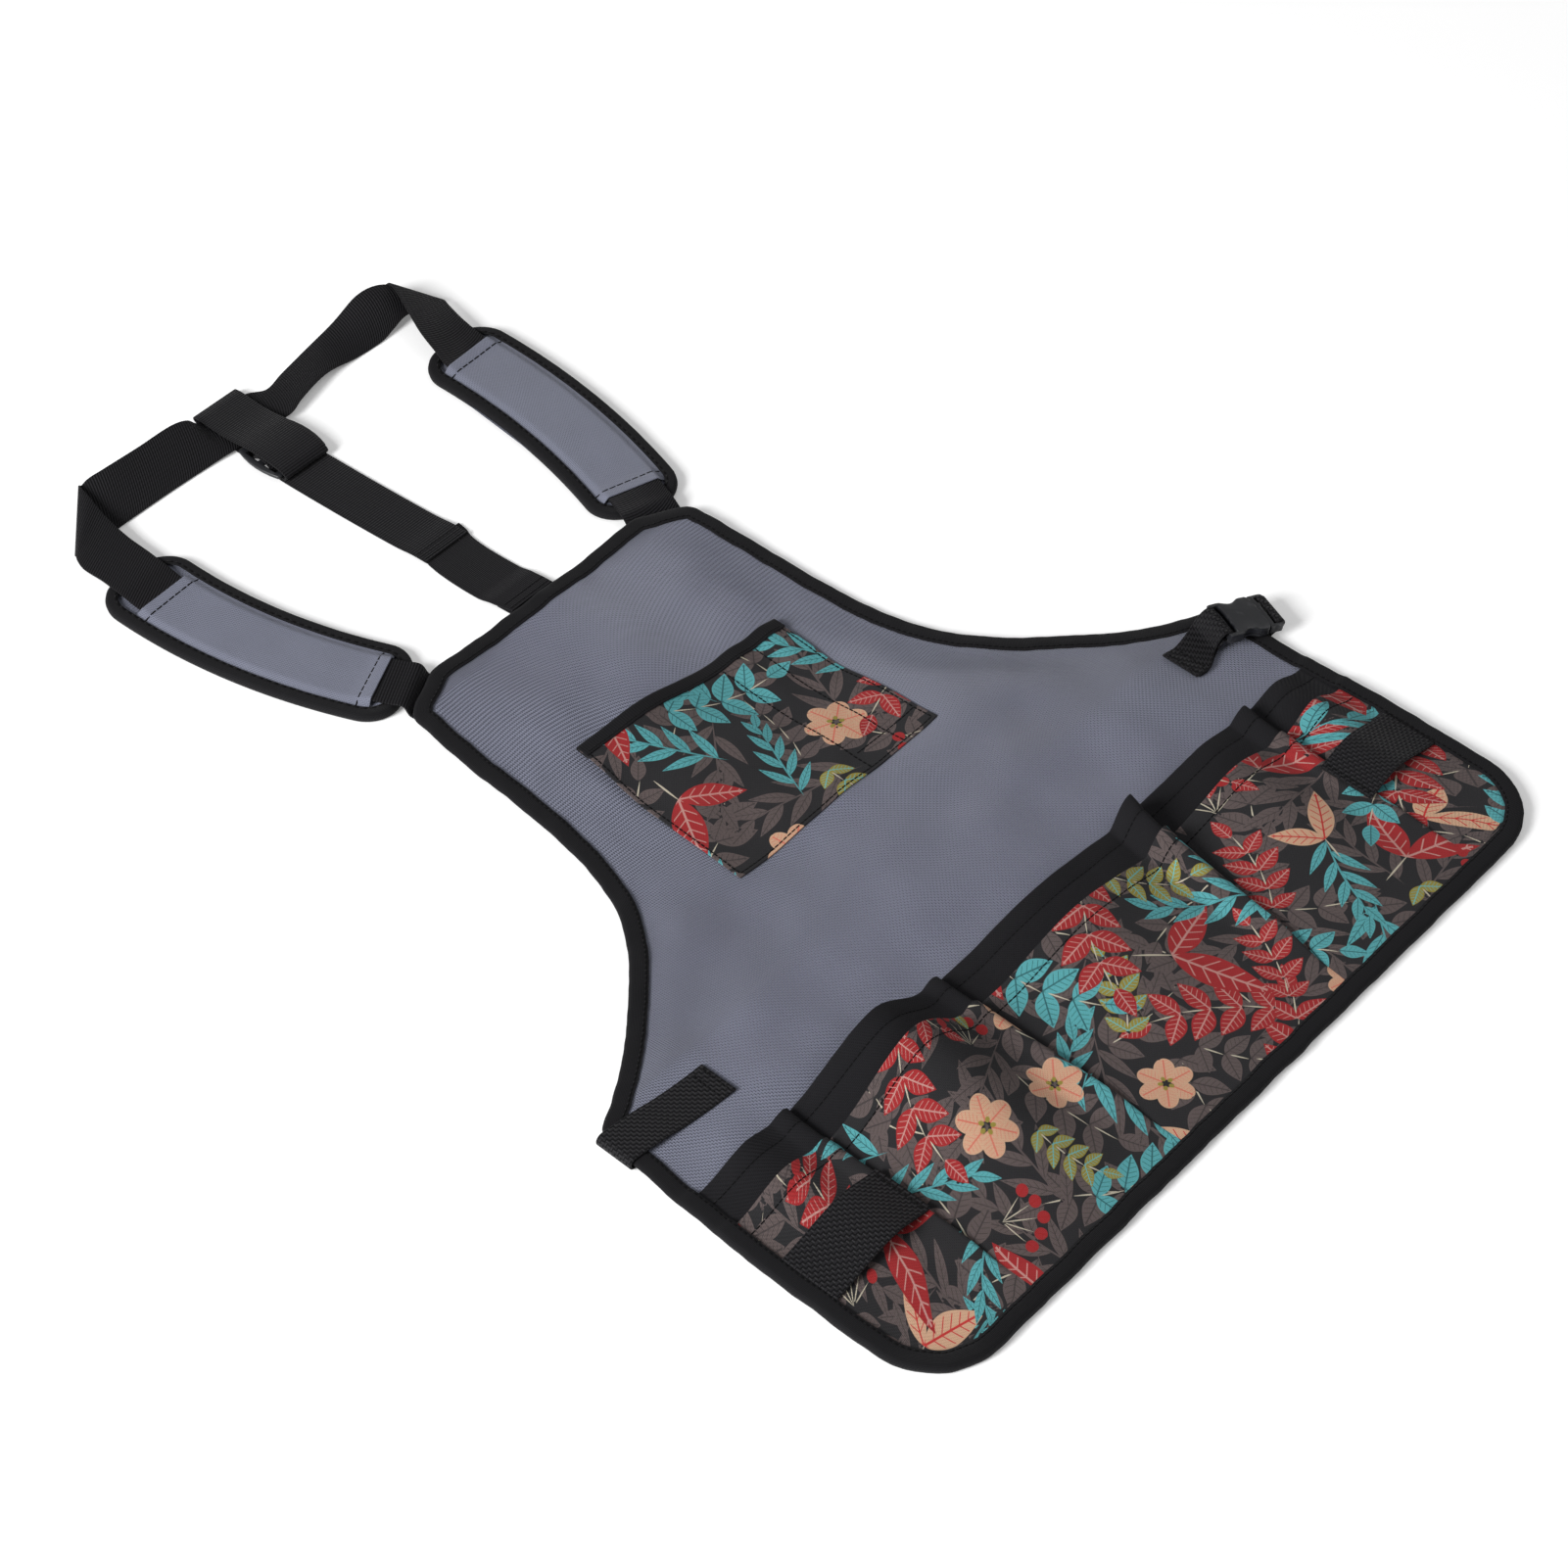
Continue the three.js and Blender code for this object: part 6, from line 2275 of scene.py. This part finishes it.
@dataclass
class Studio:
    """A pale floor, soft light and the photograph's camera."""

    layout: Layout
    lens: float = 100.0
    elevation: float = 47.364
    azimuth: float = -47.812
    distance: float = 2675.714
    target: Point = (-9.571, 367.308, 0.0)
    lamps: tuple[tuple[str, Point, float, float], ...] = (
        ("key", (-3.4, 0.5, 2.0), 1.6, 226.0), ("fill", (1.6, -1.0, 2.4), 2.4, 18.0),
    )
    sky: float = 0.3
    floor_glow: float = 0.16
    floor_half: float = 8.0
    floor_drop: float = 0.0003

    def camera(self) -> None:
        """Make the camera."""
        data = bpy.data.cameras.new("camera")
        data.lens = self.lens
        data.sensor_width = 36.0
        data.clip_end = 50.0
        camera = bpy.data.objects.new("camera", data)
        bpy.context.collection.objects.link(camera)
        up = math.radians(self.elevation)
        round_z = math.radians(self.azimuth)
        back = Vector((math.sin(round_z) * math.cos(up), -math.cos(round_z) * math.cos(up), math.sin(up)))
        camera.location = (Vector(self.target) + back * self.distance) * MM + self.layout.origin
        camera.rotation_euler = back.to_track_quat("Z", "Y").to_euler()
        bpy.context.scene.camera = camera

    def lamp(self, name: str, place: Vector, size: float, power: float) -> None:
        """Make a square soft light that faces the apron."""
        data = bpy.data.lights.new(name, "AREA")
        data.size = size
        data.energy = power
        lamp = bpy.data.objects.new(name, data)
        bpy.context.collection.objects.link(lamp)
        lamp.location = place
        lamp.rotation_euler = place.to_track_quat("Z", "Y").to_euler()

    def lights(self) -> None:
        """Make the lamps and the sky's even light."""
        for name, place, size, power in self.lamps:
            self.lamp(name, Vector(place), size, power)
        world = bpy.data.worlds.new("studio")
        world.use_nodes = True
        world.node_tree.nodes["Background"].inputs[0].default_value = (1.0, 1.0, 1.0, 1.0)
        world.node_tree.nodes["Background"].inputs[1].default_value = self.sky
        bpy.context.scene.world = world
        bpy.context.scene.view_settings.view_transform = "Standard"

    def floor(self) -> None:
        """Lay the pale floor."""
        graph = Graph("pale floor")
        tone = graph.object_noise(3.0, 2.0)
        paint = graph.mix(tone, (0.93, 0.93, 0.93), (0.96, 0.96, 0.96))
        material = graph.surface(
            Base_Color=paint, Roughness=0.9, Specular_IOR_Level=0.1,
            Emission_Color=(1.0, 1.0, 1.0, 1.0), Emission_Strength=self.floor_glow,
        )
        bm = bmesh.new()
        bmesh.ops.create_grid(bm, x_segments=8, y_segments=8, size=self.floor_half)
        bmesh.ops.translate(bm, verts=bm.verts, vec=Vector((0, 0, -self.floor_drop)))
        mesh = bpy.data.meshes.new("floor")
        bm.to_mesh(mesh)
        bm.free()
        mesh.materials.append(material)
        floor = bpy.data.objects.new("floor", mesh)
        bpy.context.collection.objects.link(floor)
        floor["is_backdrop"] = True

    def build(self) -> None:
        """Build the studio."""
        self.camera()
        self.lights()
        self.floor()


def write_sizes() -> None:
    """Gather the solids' box and the dressed apron's box."""
    boxes = {"cad": CAD_BOUNDS, "visual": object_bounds()}
    plain = {key: [[float(c) for c in corner] for corner in box] for key, box in boxes.items()}


def main() -> None:
    """Build the apron piece by piece, then the studio."""
    logging.basicConfig(level=logging.INFO, format="%(name)s %(message)s")
    finishes = Finishes()
    layout = Layout()
    cut = Cut(layout)
    pads = ShoulderPads(cut, finishes)
    assemblies = (
        Panel(cut, finishes),
        SkirtPockets(cut, finishes),
        HammerLoops(cut, finishes),
        ChestPocket(cut, finishes),
        pads,
        NeckStrap(cut, finishes, pads),
        BackStrap(cut, finishes),
        BeltAndBuckle(cut, finishes),
        Studio(layout),
    )
    for assembly in assemblies:
        assembly.build()
    write_sizes()


if __name__ == "__main__":
    main()
